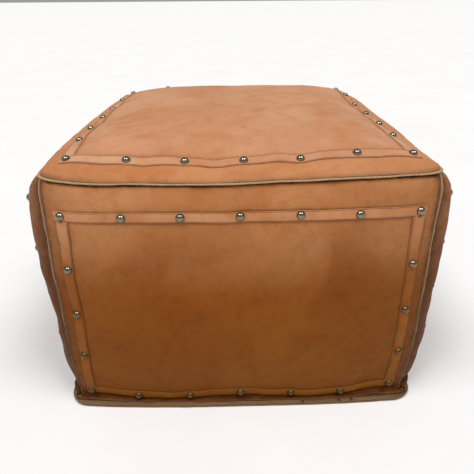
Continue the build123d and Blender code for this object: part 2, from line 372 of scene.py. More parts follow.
def side_extra(i, x, z):
    h = half(z)
    d_seam = np.minimum(h - np.abs(x), np.minimum(ZT - z, z - ZL))
    fade = smooth(4, 45, d_seam)
    e = puff(i, x, z)
    e = e + 1.3 * fbm(x, i * 991.0, z, 105, 11 + i, 2) * fade + 0.35 * fbm(x, i * 57.0, z, 30, 31 + i, 2) * smooth(2, 25, d_seam)
    # puckers drawn in by the seams
    e = e + 0.75 * vnoise(x, 5.0 * i, z / 6, 21, 41 + i) * np.exp(-np.maximum(ZT - z, 0) / 17) * smooth(0, 5, ZT - z)
    e = e + 0.9 * vnoise(x, 5.0 * i, z / 6, 26, 51 + i) * np.exp(-np.maximum(z - ZL, 0) / 14) * smooth(0, 6, z - ZL)
    e = e + 0.6 * vnoise(x / 6, 5.0 * i, z, 24, 61 + i) * np.exp(-np.maximum(h - np.abs(x), 0) / 15) * smooth(0, 6, h - np.abs(x))
    # drawn down along the sewn strips and under each stud
    e = e - 0.9 * np.exp(-(frame_dist(x, z - SZ[i], 3 * PITCH * SF[i], Z_LO, Z_HI) / 11) ** 2)
    for sx, sz in side_studs(i):
        e = e - 0.8 * np.exp(-((x - sx) ** 2 + (z - sz) ** 2) / 8.5 ** 2)
    if SIDE_D[i] is not None:
        e = e + bicubic(SIDE_D[i], (x / h + 1) / 2, (z - ZL) / (ZT - ZL))
    return e


def side_point(i, x, z, off=0.0):
    """points of side panel i's outside at x, z before it is turned into place, and outward normals"""
    x, z = np.broadcast_arrays(np.asarray(x, float), np.asarray(z, float))

    def f(a, b):
        return side_base(a, b) + side_extra(i, a, b)
    e = 0.6
    y0 = f(x, z)
    n = unit(np.stack([-(f(x + e, z) - f(x - e, z)) / (2 * e), -np.ones_like(y0), -(f(x, z + e) - f(x, z - e)) / (2 * e)], -1) * np.array([1, 1, 1]))
    # outward is -y: surface y = -f, so its normal is (-df/dx, -1, -df/dz) with f growing outwards
    P = np.stack([x, -y0, z], -1)
    return P + n * np.asarray(off)[..., None] if np.ndim(off) else P + n * off, n


def top_ab(x, y):
    a, b = x / (HALF + BOW), y / (HALF + BOW)
    for _ in range(12):
        a = x / (HALF + BOW * (1 - np.clip(np.abs(b), 0, 1.05) ** 3))
        b = y / (HALF + BOW * (1 - np.clip(np.abs(a), 0, 1.05) ** 3))
    return a, b


def top_height(a, b, x, y, plain=False):
    u, v = np.clip(np.abs(a), 0, 1), np.clip(np.abs(b), 0, 1)
    s = np.clip((u ** 11 + v ** 11 + 1e-12) ** (1 / 11), 0, 1)
    sm = np.maximum(u, v)
    z = ZW + CROWN * (1 - s ** CROWN_N) + EAR * (np.minimum(u, v) / np.maximum(sm, 1e-6)) ** 9 * sm ** 9
    if plain:
        return z
    e = (1 - sm) * (HALF + BOW * 0.8)
    R = 3.2
    z = z + G_WELT + np.where(e < R, np.sqrt(np.maximum(R * R - (R - e) ** 2, 0)), R)
    fade = smooth(4, 50, e)
    z = z + 1.5 * fbm(x, y, 0, 120, 211, 2) * fade + 0.35 * fbm(x, y, 0, 32, 221, 2) * smooth(2, 25, e)
    along = np.where(u > v, y, x)
    z = z + 0.8 * vnoise(along, np.where(u > v, 1.0, 2.0) * 400 * np.sign(np.where(u > v, a, b)), e / 6, 24, 231) * np.exp(-e / 16) * smooth(0, 6, e)
    fx = TOP_F + TOP_FB * (1 - (np.clip(np.abs(y) / TOP_F, 0, 1)) ** 2)
    fy = TOP_F + TOP_FB * (1 - (np.clip(np.abs(x) / TOP_F, 0, 1)) ** 2)
    d = np.minimum(np.hypot(np.abs(x) - fx, np.maximum(0, np.abs(y) - TOP_F)), np.hypot(np.abs(y) - fy, np.maximum(0, np.abs(x) - TOP_F)))
    z = z - 0.9 * np.exp(-(d / 11) ** 2)
    # the corners are stuffed plump, right up to the seam
    L = HALF + BOW * 0.8
    z = z + (6.3 - 2.7 * np.tanh(y / 60.0)) * (1 - np.exp(-e / 7.0)) * np.exp(-(((1 - u) * L) ** 2 + ((1 - v) * L) ** 2) / 45.0 ** 2)
    for sx, sy in top_studs():
        z = z - 0.8 * np.exp(-((x - sx) ** 2 + (y - sy) ** 2) / 8.5 ** 2)
    if TOP_D is not None:
        z = z + bicubic(TOP_D, (a + 1) / 2, (b + 1) / 2)
    return z


def top_point(x, y, off=0.0):
    x, y = np.broadcast_arrays(np.asarray(x, float), np.asarray(y, float))

    def f(p, q):
        a, b = top_ab(p, q)
        return top_height(a, b, p, q)
    e = 0.6
    z = f(x, y)
    n = unit(np.stack([-(f(x + e, y) - f(x - e, y)) / (2 * e), -(f(x, y + e) - f(x, y - e)) / (2 * e), np.ones_like(z)], -1))
    P = np.stack([x, y, z], -1)
    return P + n * np.asarray(off)[..., None] if np.ndim(off) else P + n * off, n


# ------------------------------------------------------------------ cloth: the stuffed cover under pressure
def run_cloth():
    """the whole cover as one closed bag with its seams held, blown up by pressure; the panels' displacement along their normals, capped"""
    ns, nz, nt = 46, 34, 46
    verts, index, faces, pins = [], {}, [], {}

    def vid(p, w):
        k = (round(float(p[0]), 2), round(float(p[1]), 2), round(float(p[2]), 2))
        if k not in index:
            index[k] = len(verts)
            verts.append([float(c) for c in p])
            pins[index[k]] = 0.0
        pins[index[k]] = max(pins[index[k]], w)
        return index[k]

    ids, nrm = [], []
    xh = np.linspace(-1, 1, ns + 1)
    zz = np.linspace(ZL, ZW, nz + 1)
    for i in range(4):
        X = np.zeros((nz + 1, ns + 1, 3))
        for r, z in enumerate(zz):
            h = HALF if r == nz else half(min(z, ZT))
            X[r, :, 0] = xh * h
            X[r, :, 1] = -(h + float(bow(np.array(float(z)))) * (1 - np.abs(xh) ** 3))
            X[r, :, 2] = z + ear(xh) * smooth(0.4, 1.0, (z - ZL) / (ZW - ZL))
        N = turn(grid_normals(X), i)
        P = turn(X, i)
        g = np.zeros((nz + 1, ns + 1), int)
        for r in range(nz + 1):
            for c in range(ns + 1):
                seam = r in (0, nz) or c in (0, ns)
                g[r, c] = vid(P[r, c], 1.0 if seam else 0.0)
        for r in range(nz):
            for c in range(ns):
                faces.append([g[r, c], g[r, c + 1], g[r + 1, c + 1], g[r + 1, c]])
        ids.append(g)
        nrm.append(N)
    A, B = np.meshgrid(np.linspace(-1, 1, nt + 1), np.linspace(-1, 1, nt + 1))
    X = A * (HALF + BOW * (1 - np.abs(B) ** 3))
    Y = B * (HALF + BOW * (1 - np.abs(A) ** 3))
    P = np.stack([X, Y, top_height(A, B, X, Y, plain=True)], -1)
    g = np.zeros((nt + 1, nt + 1), int)
    for r in range(nt + 1):
        for c in range(nt + 1):
            g[r, c] = vid(P[r, c], 1.0 if r in (0, nt) or c in (0, nt) else 0.0)
    for r in range(nt):
        for c in range(nt):
            faces.append([g[r, c], g[r, c + 1], g[r + 1, c + 1], g[r + 1, c]])
    gt = g
    h0 = float(half(ZL))
    X = A * (h0 + BOW_B * (1 - np.abs(B) ** 3))
    Y = B * (h0 + BOW_B * (1 - np.abs(A) ** 3))
    P = np.stack([X, Y, np.full_like(X, ZL)], -1)
    g = np.zeros((nt + 1, nt + 1), int)
    for r in range(nt + 1):
        for c in range(nt + 1):
            g[r, c] = vid(P[r, c], 1.0)
    for r in range(nt):
        for c in range(nt):
            faces.append([g[r, c], g[r + 1, c], g[r + 1, c + 1], g[r, c + 1]])
    rest = np.array(verts)
    # a small seeded unevenness, so that the slack gathers as it does in a sewn cover
    start = rest.copy()
    free = np.array([pins[k] < 0.5 for k in range(len(verts))])
    for k, s in enumerate((11, 22, 33)):
        start[free, k] += 0.8 * fbm(rest[free, 0], rest[free, 1], rest[free, 2], 38, s, 2)
    me = bpy.data.meshes.new("cloth_work")
    me.from_pydata((start * MM).tolist(), [], faces)
    ob = bpy.data.objects.new("cloth_work", me)
    bpy.context.scene.collection.objects.link(ob)
    vg = ob.vertex_groups.new(name="held")
    vg.add([k for k in range(len(verts)) if pins[k] > 0.5], 1.0, "REPLACE")
    md = ob.modifiers.new("cloth", "CLOTH")
    st = md.settings
    st.quality = 6
    st.mass = 0.9
    st.tension_stiffness = st.compression_stiffness = 45
    st.shear_stiffness = 25
    st.bending_stiffness = 12
    st.tension_damping = st.compression_damping = st.shear_damping = 12
    st.bending_damping = 2
    st.air_damping = 3
    st.vertex_group_mass = "held"
    st.pin_stiffness = 1.0
    st.shrink_min = -0.012
    st.use_pressure = True
    st.uniform_pressure_force = 4.0
    st.effector_weights.gravity = 0
    md.collision_settings.use_collision = False
    md.collision_settings.use_self_collision = False
    md.point_cache.frame_start, md.point_cache.frame_end = 1, 22
    sc = bpy.context.scene
    for fr in range(1, 23):
        sc.frame_set(fr)
    dg = bpy.context.evaluated_depsgraph_get()
    ev = ob.evaluated_get(dg).to_mesh()
    co = np.empty(len(verts) * 3)
    ev.vertices.foreach_get("co", co)
    co = co.reshape(-1, 3) / MM
    ob.evaluated_get(dg).to_mesh_clear()
    sc.frame_set(1)
    bpy.data.objects.remove(ob)
    bpy.data.meshes.remove(me)
    D = co - rest
    out = []
    for i in range(4):
        d = (D[ids[i]] * nrm[i]).sum(-1)
        out.append(d)
    top = D[gt][..., 2]
    print("cloth: sides", [(round(float(d.min()), 2), round(float(np.median(d)), 2), round(float(d.max()), 2)) for d in out], "top", round(float(top.min()), 2), round(float(np.median(top)), 2), round(float(top.max()), 2))

    def tidy(d, cap):
        d = cap * np.tanh(d / cap)
        for _ in range(2):
            e = np.pad(d, 1, mode="edge")
            d = (4 * d + e[:-2, 1:-1] + e[2:, 1:-1] + e[1:-1, :-2] + e[1:-1, 2:]) / 8
        return d
    return [tidy(d, 4.0) for d in out], tidy(top, 3.5)


SIDE_D, TOP_D = run_cloth()


# ------------------------------------------------------------------ materials
class Nodes:
    """a small helper for node trees; inputs are sockets or plain values"""

    def __init__(self, name, **bsdf):
        self.m = bpy.data.materials.new(name)
        self.m.use_nodes = True
        self.t = self.m.node_tree
        self.t.nodes.clear()
        self.out = self.t.nodes.new("ShaderNodeOutputMaterial")
        self.b = self.t.nodes.new("ShaderNodeBsdfPrincipled")
        self.t.links.new(self.b.outputs[0], self.out.inputs[0])
        for k, v in bsdf.items():
            self.b.inputs[k.replace("_", " ")].default_value = v

    def put(self, node, key, val):
        s = node.inputs[key]
        if hasattr(val, "is_linked"):
            self.t.links.new(val, s)
        elif isinstance(val, (tuple, list)) and len(val) == 3 and s.type == "RGBA":
            s.default_value = (*val, 1)
        else:
            s.default_value = val

    def add(self, kind, props=None, **ins):
        n = self.t.nodes.new("ShaderNode" + kind)
        for k, v in (props or {}).items():
            setattr(n, k, v)
        for k, v in ins.items():
            key = int(k[1:]) if k[0] == "i" and k[1:].isdigit() else k.replace("_", " ")
            self.put(n, key, v)
        return n

    def coord(self, scale=(1, 1, 1)):
        c = self.add("TexCoord")
        m = self.add("Mapping", Scale=scale)
        self.t.links.new(c.outputs["Object"], m.inputs["Vector"])
        return m.outputs[0]

    def noise(self, scale, detail=2.0, rough=0.5, vec=None, distort=0.0):
        n = self.add("TexNoise", Scale=scale, Detail=detail, Roughness=rough, Distortion=distort)
        if vec is not None:
            self.t.links.new(vec, n.inputs["Vector"])
        return n.outputs["Fac"]

    def voronoi(self, scale, vec=None, feature="F1", rand=1.0):
        n = self.add("TexVoronoi", {"feature": feature}, Scale=scale, Randomness=rand)
        if vec is not None:
            self.t.links.new(vec, n.inputs["Vector"])
        return n.outputs["Distance"]

    def attr(self, name):
        return self.add("Attribute", {"attribute_name": name}).outputs["Fac"]

    def math(self, op, a, b=0.0, c=0.0, clamp=False):
        n = self.add("Math", {"operation": op, "use_clamp": clamp})
        for k, v in enumerate((a, b, c)):
            if hasattr(v, "is_linked"):
                self.t.links.new(v, n.inputs[k])
            else:
                n.inputs[k].default_value = v
        return n.outputs[0]

    def ramp(self, fac, lo, hi, a=0.0, b=1.0, smoothstep=False):
        n = self.add("MapRange", {"clamp": True, "interpolation_type": "SMOOTHSTEP" if smoothstep else "LINEAR"})
        for k, v in (("Value", fac), ("From Min", lo), ("From Max", hi), ("To Min", a), ("To Max", b)):
            self.put(n, k, v)
        return n.outputs[0]

    def mix(self, fac, a, b, blend="MIX"):
        n = self.add("Mix", {"data_type": "RGBA", "blend_type": blend, "clamp_factor": True})
        self.put(n, 0, fac)
        for k, v in ((6, a), (7, b)):
            if hasattr(v, "is_linked"):
                self.t.links.new(v, n.inputs[k])
            else:
                n.inputs[k].default_value = (*v, 1)
        return n.outputs[2]

    def bump(self, height, strength, distance, normal=None):
        n = self.add("Bump", Strength=strength, Distance=distance)
        self.t.links.new(height, n.inputs["Height"])
        if normal is not None:
            self.t.links.new(normal, n.inputs["Normal"])
        return n.outputs[0]

    def set(self, key, val):
        self.put(self.b, key, val)


def srgb(r, g, b):
    def f(c):
        c /= 255.0
        return c / 12.92 if c <= 0.04045 else ((c + 0.055) / 1.055) ** 2.4
    return (f(r), f(g), f(b))


RAW_PALE = (srgb(160, 124, 90), srgb(200, 166, 128))
RAW_GREY = (srgb(98, 74, 50), srgb(130, 102, 74))


def leather(name, light, mid, deep, stain, painted_shade_down=0.0, edge=0.55, grain=1.0, shift=0.0, rough=0.5, rawc=RAW_PALE, painted_rim_shade=False):
    """natural vegetable-tanned leather. Attributes: dark (0 to 1) where dirt and shade gather, raw (0 to 1) at cut edges"""
    N = Nodes(name)
    p = N.coord()
    off = N.add("Mapping", Location=(shift, shift * 0.7, shift * 1.3))
    N.t.links.new(p, off.inputs["Vector"])
    p = off.outputs[0]
    cloud = N.noise(7.0, 3.0, 0.55, p, 0.6)
    patch = N.noise(19.0, 4.0, 0.6, p, 0.9)
    fine = N.noise(85.0, 4.0, 0.62, p, 0.4)
    dust = N.noise(420.0, 3.0, 0.6, p)
    col = N.mix(N.ramp(cloud, 0.36, 0.64, smoothstep=True), mid, light)
    col = N.mix(N.math("MULTIPLY", N.ramp(patch, 0.46, 0.72, smoothstep=True), 0.6), col, deep)
    col = N.mix(N.math("MULTIPLY", N.ramp(fine, 0.5, 0.75), 0.22), col, stain)
    col = N.mix(N.math("MULTIPLY", N.ramp(dust, 0.42, 0.7), 0.16), col, deep)
    # small dark marks and pale scuffs of a hide
    spots = N.voronoi(34.0, p)
    col = N.mix(N.math("MULTIPLY", N.math("MULTIPLY", N.ramp(spots, 0.0, 0.13, 1.0, 0.0, True), N.ramp(patch, 0.5, 0.62)), 0.35), col, stain)
    sv = N.add("Mapping", Rotation=(0.5, 0.35, 0.8), Scale=(11, 230, 42))
    N.t.links.new(p, sv.inputs["Vector"])
    scuff = N.noise(1.0, 3.0, 0.65, sv.outputs[0], 0.35)
    sw = N.add("Mapping", Rotation=(-0.4, 0.9, -0.5), Scale=(260, 14, 60))
    N.t.links.new(p, sw.inputs["Vector"])
    scuff2 = N.noise(1.0, 3.0, 0.65, sw.outputs[0], 0.3)
    lines = N.math("MAXIMUM", N.ramp(scuff, 0.655, 0.70), N.ramp(scuff2, 0.665, 0.71))
    lines = N.math("MULTIPLY", lines, N.ramp(cloud, 0.4, 0.6))
    col = N.mix(N.math("MULTIPLY", lines, 0.3), col, light)
    if painted_shade_down:
        # painted shade: a deeper, richer, darker tan from the shoulder down, standing in for the shade that falls on
        # the lower walls
        xyz = N.add("SeparateXYZ")
        N.t.links.new(N.coord(), xyz.inputs[0])
        down = N.math("ADD", xyz.outputs[2], N.math("MULTIPLY", N.math("SUBTRACT", cloud, 0.5), 0.05))
        down = N.math("ADD", down, N.math("MULTIPLY", N.math("SUBTRACT", patch, 0.5), 0.05))
        col = N.mix(N.ramp(down, 0.322, 0.185, 0.0, painted_shade_down, True), col, (0.48, 0.32, 0.06), "MULTIPLY")
        col = N.mix(N.ramp(down, 0.22, 0.05, 0.0, painted_shade_down, True), col, (0.90, 0.95, 0.42), "MULTIPLY")
    if painted_rim_shade:
        # painted shade: the top's rim, where it curves down to the seam, warmer and darker towards its edge
        xyz = N.add("SeparateXYZ")
        N.t.links.new(N.coord(), xyz.inputs[0])
        down = N.math("ADD", xyz.outputs[2], N.math("MULTIPLY", N.math("SUBTRACT", patch, 0.5), 0.02))
        col = N.mix(N.ramp(down, 0.364, 0.345, 0.0, 1.0, True), col, (0.96, 0.82, 0.62), "MULTIPLY")
    # the dark attribute is mostly painted shade in seams, gaps, creases and under edges, with some dirt, mixed in as a
    # near-black brown
    dark = N.attr("dark")
    ragged = N.math("MULTIPLY", dark, N.ramp(fine, 0.3, 0.6, 0.75, 1.15))
    col = N.mix(N.math("MULTIPLY", ragged, edge, clamp=True), col, (0.056, 0.015, 0.002))
    raw = N.attr("raw")
    rawcol = N.mix(N.ramp(N.noise(600.0, 3.0, 0.6, p), 0.35, 0.65), *rawc)
    col = N.mix(raw, col, rawcol)
    N.set("Base Color", col)
    pores = N.voronoi(1150.0, p, "F1")
    cells = N.voronoi(520.0, p, "SMOOTH_F1")
    g = N.math("ADD", N.math("MULTIPLY", N.ramp(pores, 0.0, 0.45), 0.5), N.math("MULTIPLY", cells, 0.7))
    g = N.math("ADD", g, N.math("MULTIPLY", N.noise(1500.0, 2.0, 0.6, p), 0.35))
    b1 = N.bump(g, 0.16 * grain, 0.0006)
    w = N.math("ADD", N.math("MULTIPLY", N.noise(60.0, 5.0, 0.6, p, 1.0), 1.0), N.math("MULTIPLY", lines, -0.25))
    b2 = N.bump(w, 0.16, 0.004, b1)
    N.t.links.new(b2, N.b.inputs["Normal"])
    r = N.math("ADD", N.ramp(fine, 0.3, 0.75, rough - 0.06, rough + 0.1), N.math("MULTIPLY", N.ramp(patch, 0.4, 0.7), 0.06))
    r = N.math("ADD", r, N.math("MULTIPLY", raw, 0.25), clamp=True)
    N.set("Roughness", r)
    N.b.inputs["Specular IOR Level"].default_value = 0.10
    return N.m


# the cover, side-panel and strip leather carry painted shade that darkens them from the shoulder down
M_COVER = leather("leather_cover", srgb(199, 138, 91), srgb(188, 124, 76), srgb(179, 104, 47), srgb(127, 71, 33), painted_shade_down=1.0, rough=0.5, edge=0.8)
# painted shade: the left and right panels get a darker copy of the cover leather, standing in for the shade on them
M_COVER_SHADED = leather("leather_cover_side_painted_shade", srgb(165, 112, 74), srgb(153, 99, 60), srgb(143, 82, 38), srgb(101, 55, 27), painted_shade_down=1.0, shift=12.7, rough=0.52, edge=0.8)
M_TOP = leather("leather_top", srgb(201, 149, 114), srgb(191, 135, 98), srgb(186, 117, 68), srgb(148, 90, 56), shift=3.3, rough=0.5, painted_rim_shade=True)
M_STRIP = leather("leather_strip", srgb(204, 144, 101), srgb(193, 130, 86), srgb(182, 110, 60), srgb(132, 76, 42), painted_shade_down=0.94, shift=7.1, edge=0.8, grain=0.8, rough=0.52)
M_STRIP_TOP = leather("leather_strip_top", srgb(204, 152, 116), srgb(194, 138, 101), srgb(186, 118, 70), srgb(144, 86, 52), shift=9.4, edge=0.8, grain=0.8, rough=0.52)
M_WELT = leather("leather_welt", srgb(188, 154, 116), srgb(170, 134, 98), srgb(142, 104, 70), srgb(104, 68, 42), shift=5.7, edge=0.9, grain=0.5, rough=0.66)
M_FLANGE = leather("leather_flange", srgb(124, 97, 69), srgb(108, 82, 56), srgb(88, 63, 40), srgb(64, 44, 28), shift=1.9, edge=0.9, grain=0.7, rough=0.7, rawc=RAW_GREY)
M_BASE = leather("leather_base", srgb(150, 116, 84), srgb(138, 102, 72), srgb(122, 84, 54), srgb(94, 62, 40), shift=2.6, grain=1.1, rough=0.7)


def thread_mat(name, a, b):
    N = Nodes(name)
    p = N.coord()
    n = N.noise(900.0, 3.0, 0.6, p)
    N.set("Base Color", N.mix(N.ramp(n, 0.3, 0.7), a, b))
    wv = N.add("TexWave", {"wave_type": "BANDS", "bands_direction": "DIAGONAL"}, Scale=1400.0, Distortion=2.0)
    N.t.links.new(p, wv.inputs["Vector"])
    N.t.links.new(N.bump(wv.outputs["Fac"], 0.4, 0.0002), N.b.inputs["Normal"])
    N.set("Roughness", 0.62)
    return N.m


M_THREAD = thread_mat("thread_dark", srgb(78, 42, 24), srgb(112, 66, 40))
M_THREAD_BASE = thread_mat("thread_base", srgb(48, 24, 16), srgb(86, 50, 34))


def metal_mat(name, col, dark, rough, low=None):
    N = Nodes(name, Metallic=1.0)
    p = N.coord()
    if low:
        # painted reflection: the lower studs made dull and brown, standing in for the darker floor and leather they
        # would reflect
        xyz = N.add("SeparateXYZ")
        N.t.links.new(p, xyz.inputs[0])
        fall = N.math("ADD", xyz.outputs[2], N.math("MULTIPLY", N.noise(9.0, 2.0, 0.5, p), 0.05))
        col = N.mix(N.ramp(fall, 0.33, 0.12, 0.0, 1.0, True), col, low)
        rough_low = N.ramp(fall, 0.30, 0.10, 0.0, 0.16, True)
    cloud = N.noise(170.0, 3.0, 0.6, p)
    fine = N.noise(1500.0, 3.0, 0.6, p)
    tarnish = N.attr("dark")
    f = N.math("ADD", N.math("MULTIPLY", N.ramp(cloud, 0.5, 0.75), 0.3), N.math("MULTIPLY", tarnish, 0.75), clamp=True)
    N.set("Base Color", N.mix(f, col, dark))
    r = N.math("ADD", N.ramp(fine, 0.3, 0.7, rough - 0.03, rough + 0.08), N.math("MULTIPLY", tarnish, 0.22), clamp=True)
    N.set("Roughness", N.math("ADD", r, rough_low, clamp=True) if low else r)
    N.t.links.new(N.bump(N.math("ADD", fine, N.math("MULTIPLY", N.noise(260.0, 2.0, 0.5, p), 2.0)), 0.05, 0.0004), N.b.inputs["Normal"])
    return N.m


# the lower studs' brown is painted reflection of the darker floor and leather
M_STUD = metal_mat("stud_nickel", srgb(136, 130, 114), srgb(52, 42, 30), 0.17, low=srgb(104, 84, 52))
M_ZIP = metal_mat("zip_brass", srgb(198, 158, 92), srgb(96, 70, 38), 0.3)


def weave_mat(name, a, b, pitch, rough=0.85):
    N = Nodes(name)
    p = N.coord()
    w1 = N.add("TexWave", {"wave_type": "BANDS", "bands_direction": "X"}, Scale=pitch, Distortion=0.3)
    w2 = N.add("TexWave", {"wave_type": "BANDS", "bands_direction": "Y"}, Scale=pitch, Distortion=0.3)
    w3 = N.add("TexWave", {"wave_type": "BANDS", "bands_direction": "Z"}, Scale=pitch, Distortion=0.3)
    for w in (w1, w2, w3):
        N.t.links.new(p, w.inputs["Vector"])
    s = N.math("MULTIPLY", N.math("ADD", w1.outputs["Fac"], w2.outputs["Fac"]), N.math("ADD", w3.outputs["Fac"], 0.5))
    n = N.noise(40.0, 3.0, 0.6, p)
    N.set("Base Color", N.mix(N.math("ADD", N.math("MULTIPLY", s, 0.3), N.math("MULTIPLY", n, 0.4), clamp=True), a, b))
    N.t.links.new(N.bump(s, 0.4, 0.0004), N.b.inputs["Normal"])
    N.set("Roughness", rough)
    return N.m


M_TAPE = weave_mat("zip_tape_weave", srgb(70, 44, 28), srgb(104, 70, 46), 620.0)
M_LINER = weave_mat("cotton_weave", srgb(196, 186, 164), srgb(226, 218, 200), 420.0)


def wadding():
    N = Nodes("wadding")
    p = N.coord()
    n = N.noise(60.0, 5.0, 0.7, p, 1.5)
    N.set("Base Color", N.mix(N.ramp(n, 0.3, 0.7), srgb(206, 202, 192), srgb(236, 233, 226)))
    N.t.links.new(N.bump(n, 0.8, 0.004), N.b.inputs["Normal"])
    N.set("Roughness", 0.95)
    return N.m


M_WADDING = wadding()

# ------------------------------------------------------------------ side panels
A45 = np.radians(np.linspace(135, 0, 10))
K_TILT = 3 * BOW / HALF
COR_F = R_COR - R_COR * np.cos(A45)
E_END = (1.7071 * R_COR + 1.4142 * G_WELT) / (1 + K_TILT)
COR_E = (E_END + 0.7071 * R_COR) - R_COR * np.sin(A45)
COR = np.concatenate([[[E_END + 2.4, 1.7071 * R_COR + 2.4 * (1 + K_TILT)]], np.stack([COR_E, COR_F], -1)])
E0 = COR[-1, 0]


def side_grid(i, step):
    inner = [E0 + d for d in (1.2, 2.6, 4.4, 6.6)]
    n = int((HALF - inner[-1]) * 2 / step)
    # columns as (sign, e, f); e is the distance from the corner line along x, f the depth behind the face
    cols = [(-1, e, f) for e, f in COR] + [(-1, e, 0.0) for e in inner]
    cols += [(0, t, 0.0) for t in np.linspace(-1, 1, n + 1)[1:-1]]
    cols += [(1, e, 0.0) for e in inner[::-1]] + [(1, e, f) for e, f in COR[::-1]]
    rows = [("b", -6.6, 0.0), ("b", -5.6, 0.0), ("b", -4.2, 0.0)]
    rows += [("b", -R_BOT + R_BOT * math.cos(a), R_BOT - R_BOT * math.sin(a)) for a in np.radians([90, 72, 54, 36, 18, 0])]
    zs = np.linspace(ZL + R_BOT, ZW - G_WELT - R_TOP, int(320 / step) + 1)
    rows += [("m", 0.0, z) for z in [zs[0] + 1.2, zs[0] + 2.8] + list(zs[1:-1]) + [zs[-1] - 1.4]]
    rows += [("t", R_TOP - R_TOP * math.cos(a), R_TOP * math.sin(a)) for a in np.radians([0, 15, 30, 45, 60, 75, 90])]
    rows += [("t", R_TOP + 2.5, R_TOP)]
    nr, nc = len(rows), len(cols)
    X = np.zeros((nr, nc))
    Z = np.zeros((nr, nc))
    F = np.zeros((nr, nc))      # depth behind the face
    span = HALF - inner[-1]
    sgn = np.array([c[0] for c in cols])
    par = np.array([c[1] for c in cols])
    dep = np.array([c[2] for c in cols])
    for r, (kind, f, z) in enumerate(rows):
        if kind == "b":
            zz = np.full(nc, ZL + z)
            extra = np.full(nc, f)
        elif kind == "m":
            zz = np.full(nc, z)
            extra = np.zeros(nc)
        else:
            zz = np.full(nc, ZW - G_WELT - R_TOP + z)
            extra = np.full(nc, f)
        h = half(zz)
        hin = h - inner[-1]
        x = np.where(sgn == 0, par * hin, sgn * (h - par))
        t = np.clip((zz - ZL) / (ZW - ZL), 0, 1)
        zz = zz + ear(x / h) * smooth(0.5, 1.0, t)
        e = h - np.abs(x)
        if kind == "b":
            # the lip fans out round the corner and wanders a little
            x = x + np.sign(x) * (-f) * np.exp(-np.maximum(e - 1, 0) / 7.0) * 0.8
            wob = 1.0 + 0.28 * vnoise(x, 7.0 * i, 0, 19, 301 + i)
            extra = extra * (wob if f < -R_BOT else 1.0)
            zz = zz + (0.35 * vnoise(x, 7.0 * i, 0, 23, 305 + i) - 0.05) * smooth(2.6, 6.6, -f)
        X[r], Z[r], F[r] = x, zz, dep + extra
    P0, _ = side_point(i, X, np.clip(Z, ZL, ZT + 6))
    P = np.stack([X, P0[..., 1] + F, Z], -1)
    e = half(np.clip(Z, ZL, ZT)) - np.abs(X)
    # how dark, as painted shade: in the seams, under the top welt, by the corners, in the crease above the lip and
    # along the edges of the sewn strips
    # painted shadow in the gap under the top welt
    d = 1.2 * np.exp(-np.maximum(ZW - Z - 2.0, 0) / 2.0) + 0.10 * np.exp(-np.maximum(ZW - Z, 0) / 12)
    # painted shade in the corner seams, and broader painted shade as the panel turns to the corner
    d = np.maximum(d, 1.2 * np.exp(-np.maximum(e - 4.5, 0) / 1.8) + np.where(X > 0, 0.56, 0.48) * np.exp(-np.maximum(e - 4, 0) / 23))
    # painted shade in the crease above the base lip
    low = np.exp(-np.abs(Z - (ZL + 2.0)) / 2.6) * (F > -3.5)
    d = np.maximum(d, 1.0 * low + 0.32 * np.exp(-np.maximum(Z - ZL, 0) / 16) * (F > -3))
    fd = frame_dist(X, Z - SZ[i], 3 * PITCH * SF[i], Z_LO, Z_HI)
    # painted shade at the edges of the sewn strips
    d = np.maximum(d, 0.62 * np.exp(-np.maximum(fd - STRIP_W / 2 - 0.1, 0) / 0.9) + 0.14 * np.exp(-np.maximum(fd - STRIP_W / 2, 0) / 6))
    # painted shade on the lip where it tucks under
    d = np.maximum(d, 1.0 * smooth(0.2, 1.8, -F) * (Z < ZL + 4))
    if i == 0:
        # handled a little more on its right half
        d = np.maximum(d, 0.15 * smooth(30, 190, X))
    raw = np.where(F < -4.8, 0.08, 0.0)
    return P, np.clip(d, 0, 1), raw


STEP = 2.6
cover = {}
for i, side in enumerate(SIDES):
    P, dark, raw = side_grid(i, STEP)
    V, F = shell(turn(P, i), THICK)
    ob = new_mesh(f"{side}_panel_leather", V, F, M_COVER_SHADED if i % 2 else M_COVER,
                  attrs={"dark": np.concatenate([dark.ravel(), dark.ravel() * 0 + 0.3]), "raw": np.concatenate([raw.ravel(), raw.ravel() * 0])})
    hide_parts(f"{side}_panel")
    cover[side] = ob

# ------------------------------------------------------------------ top panel
R_EDGE = 3.2


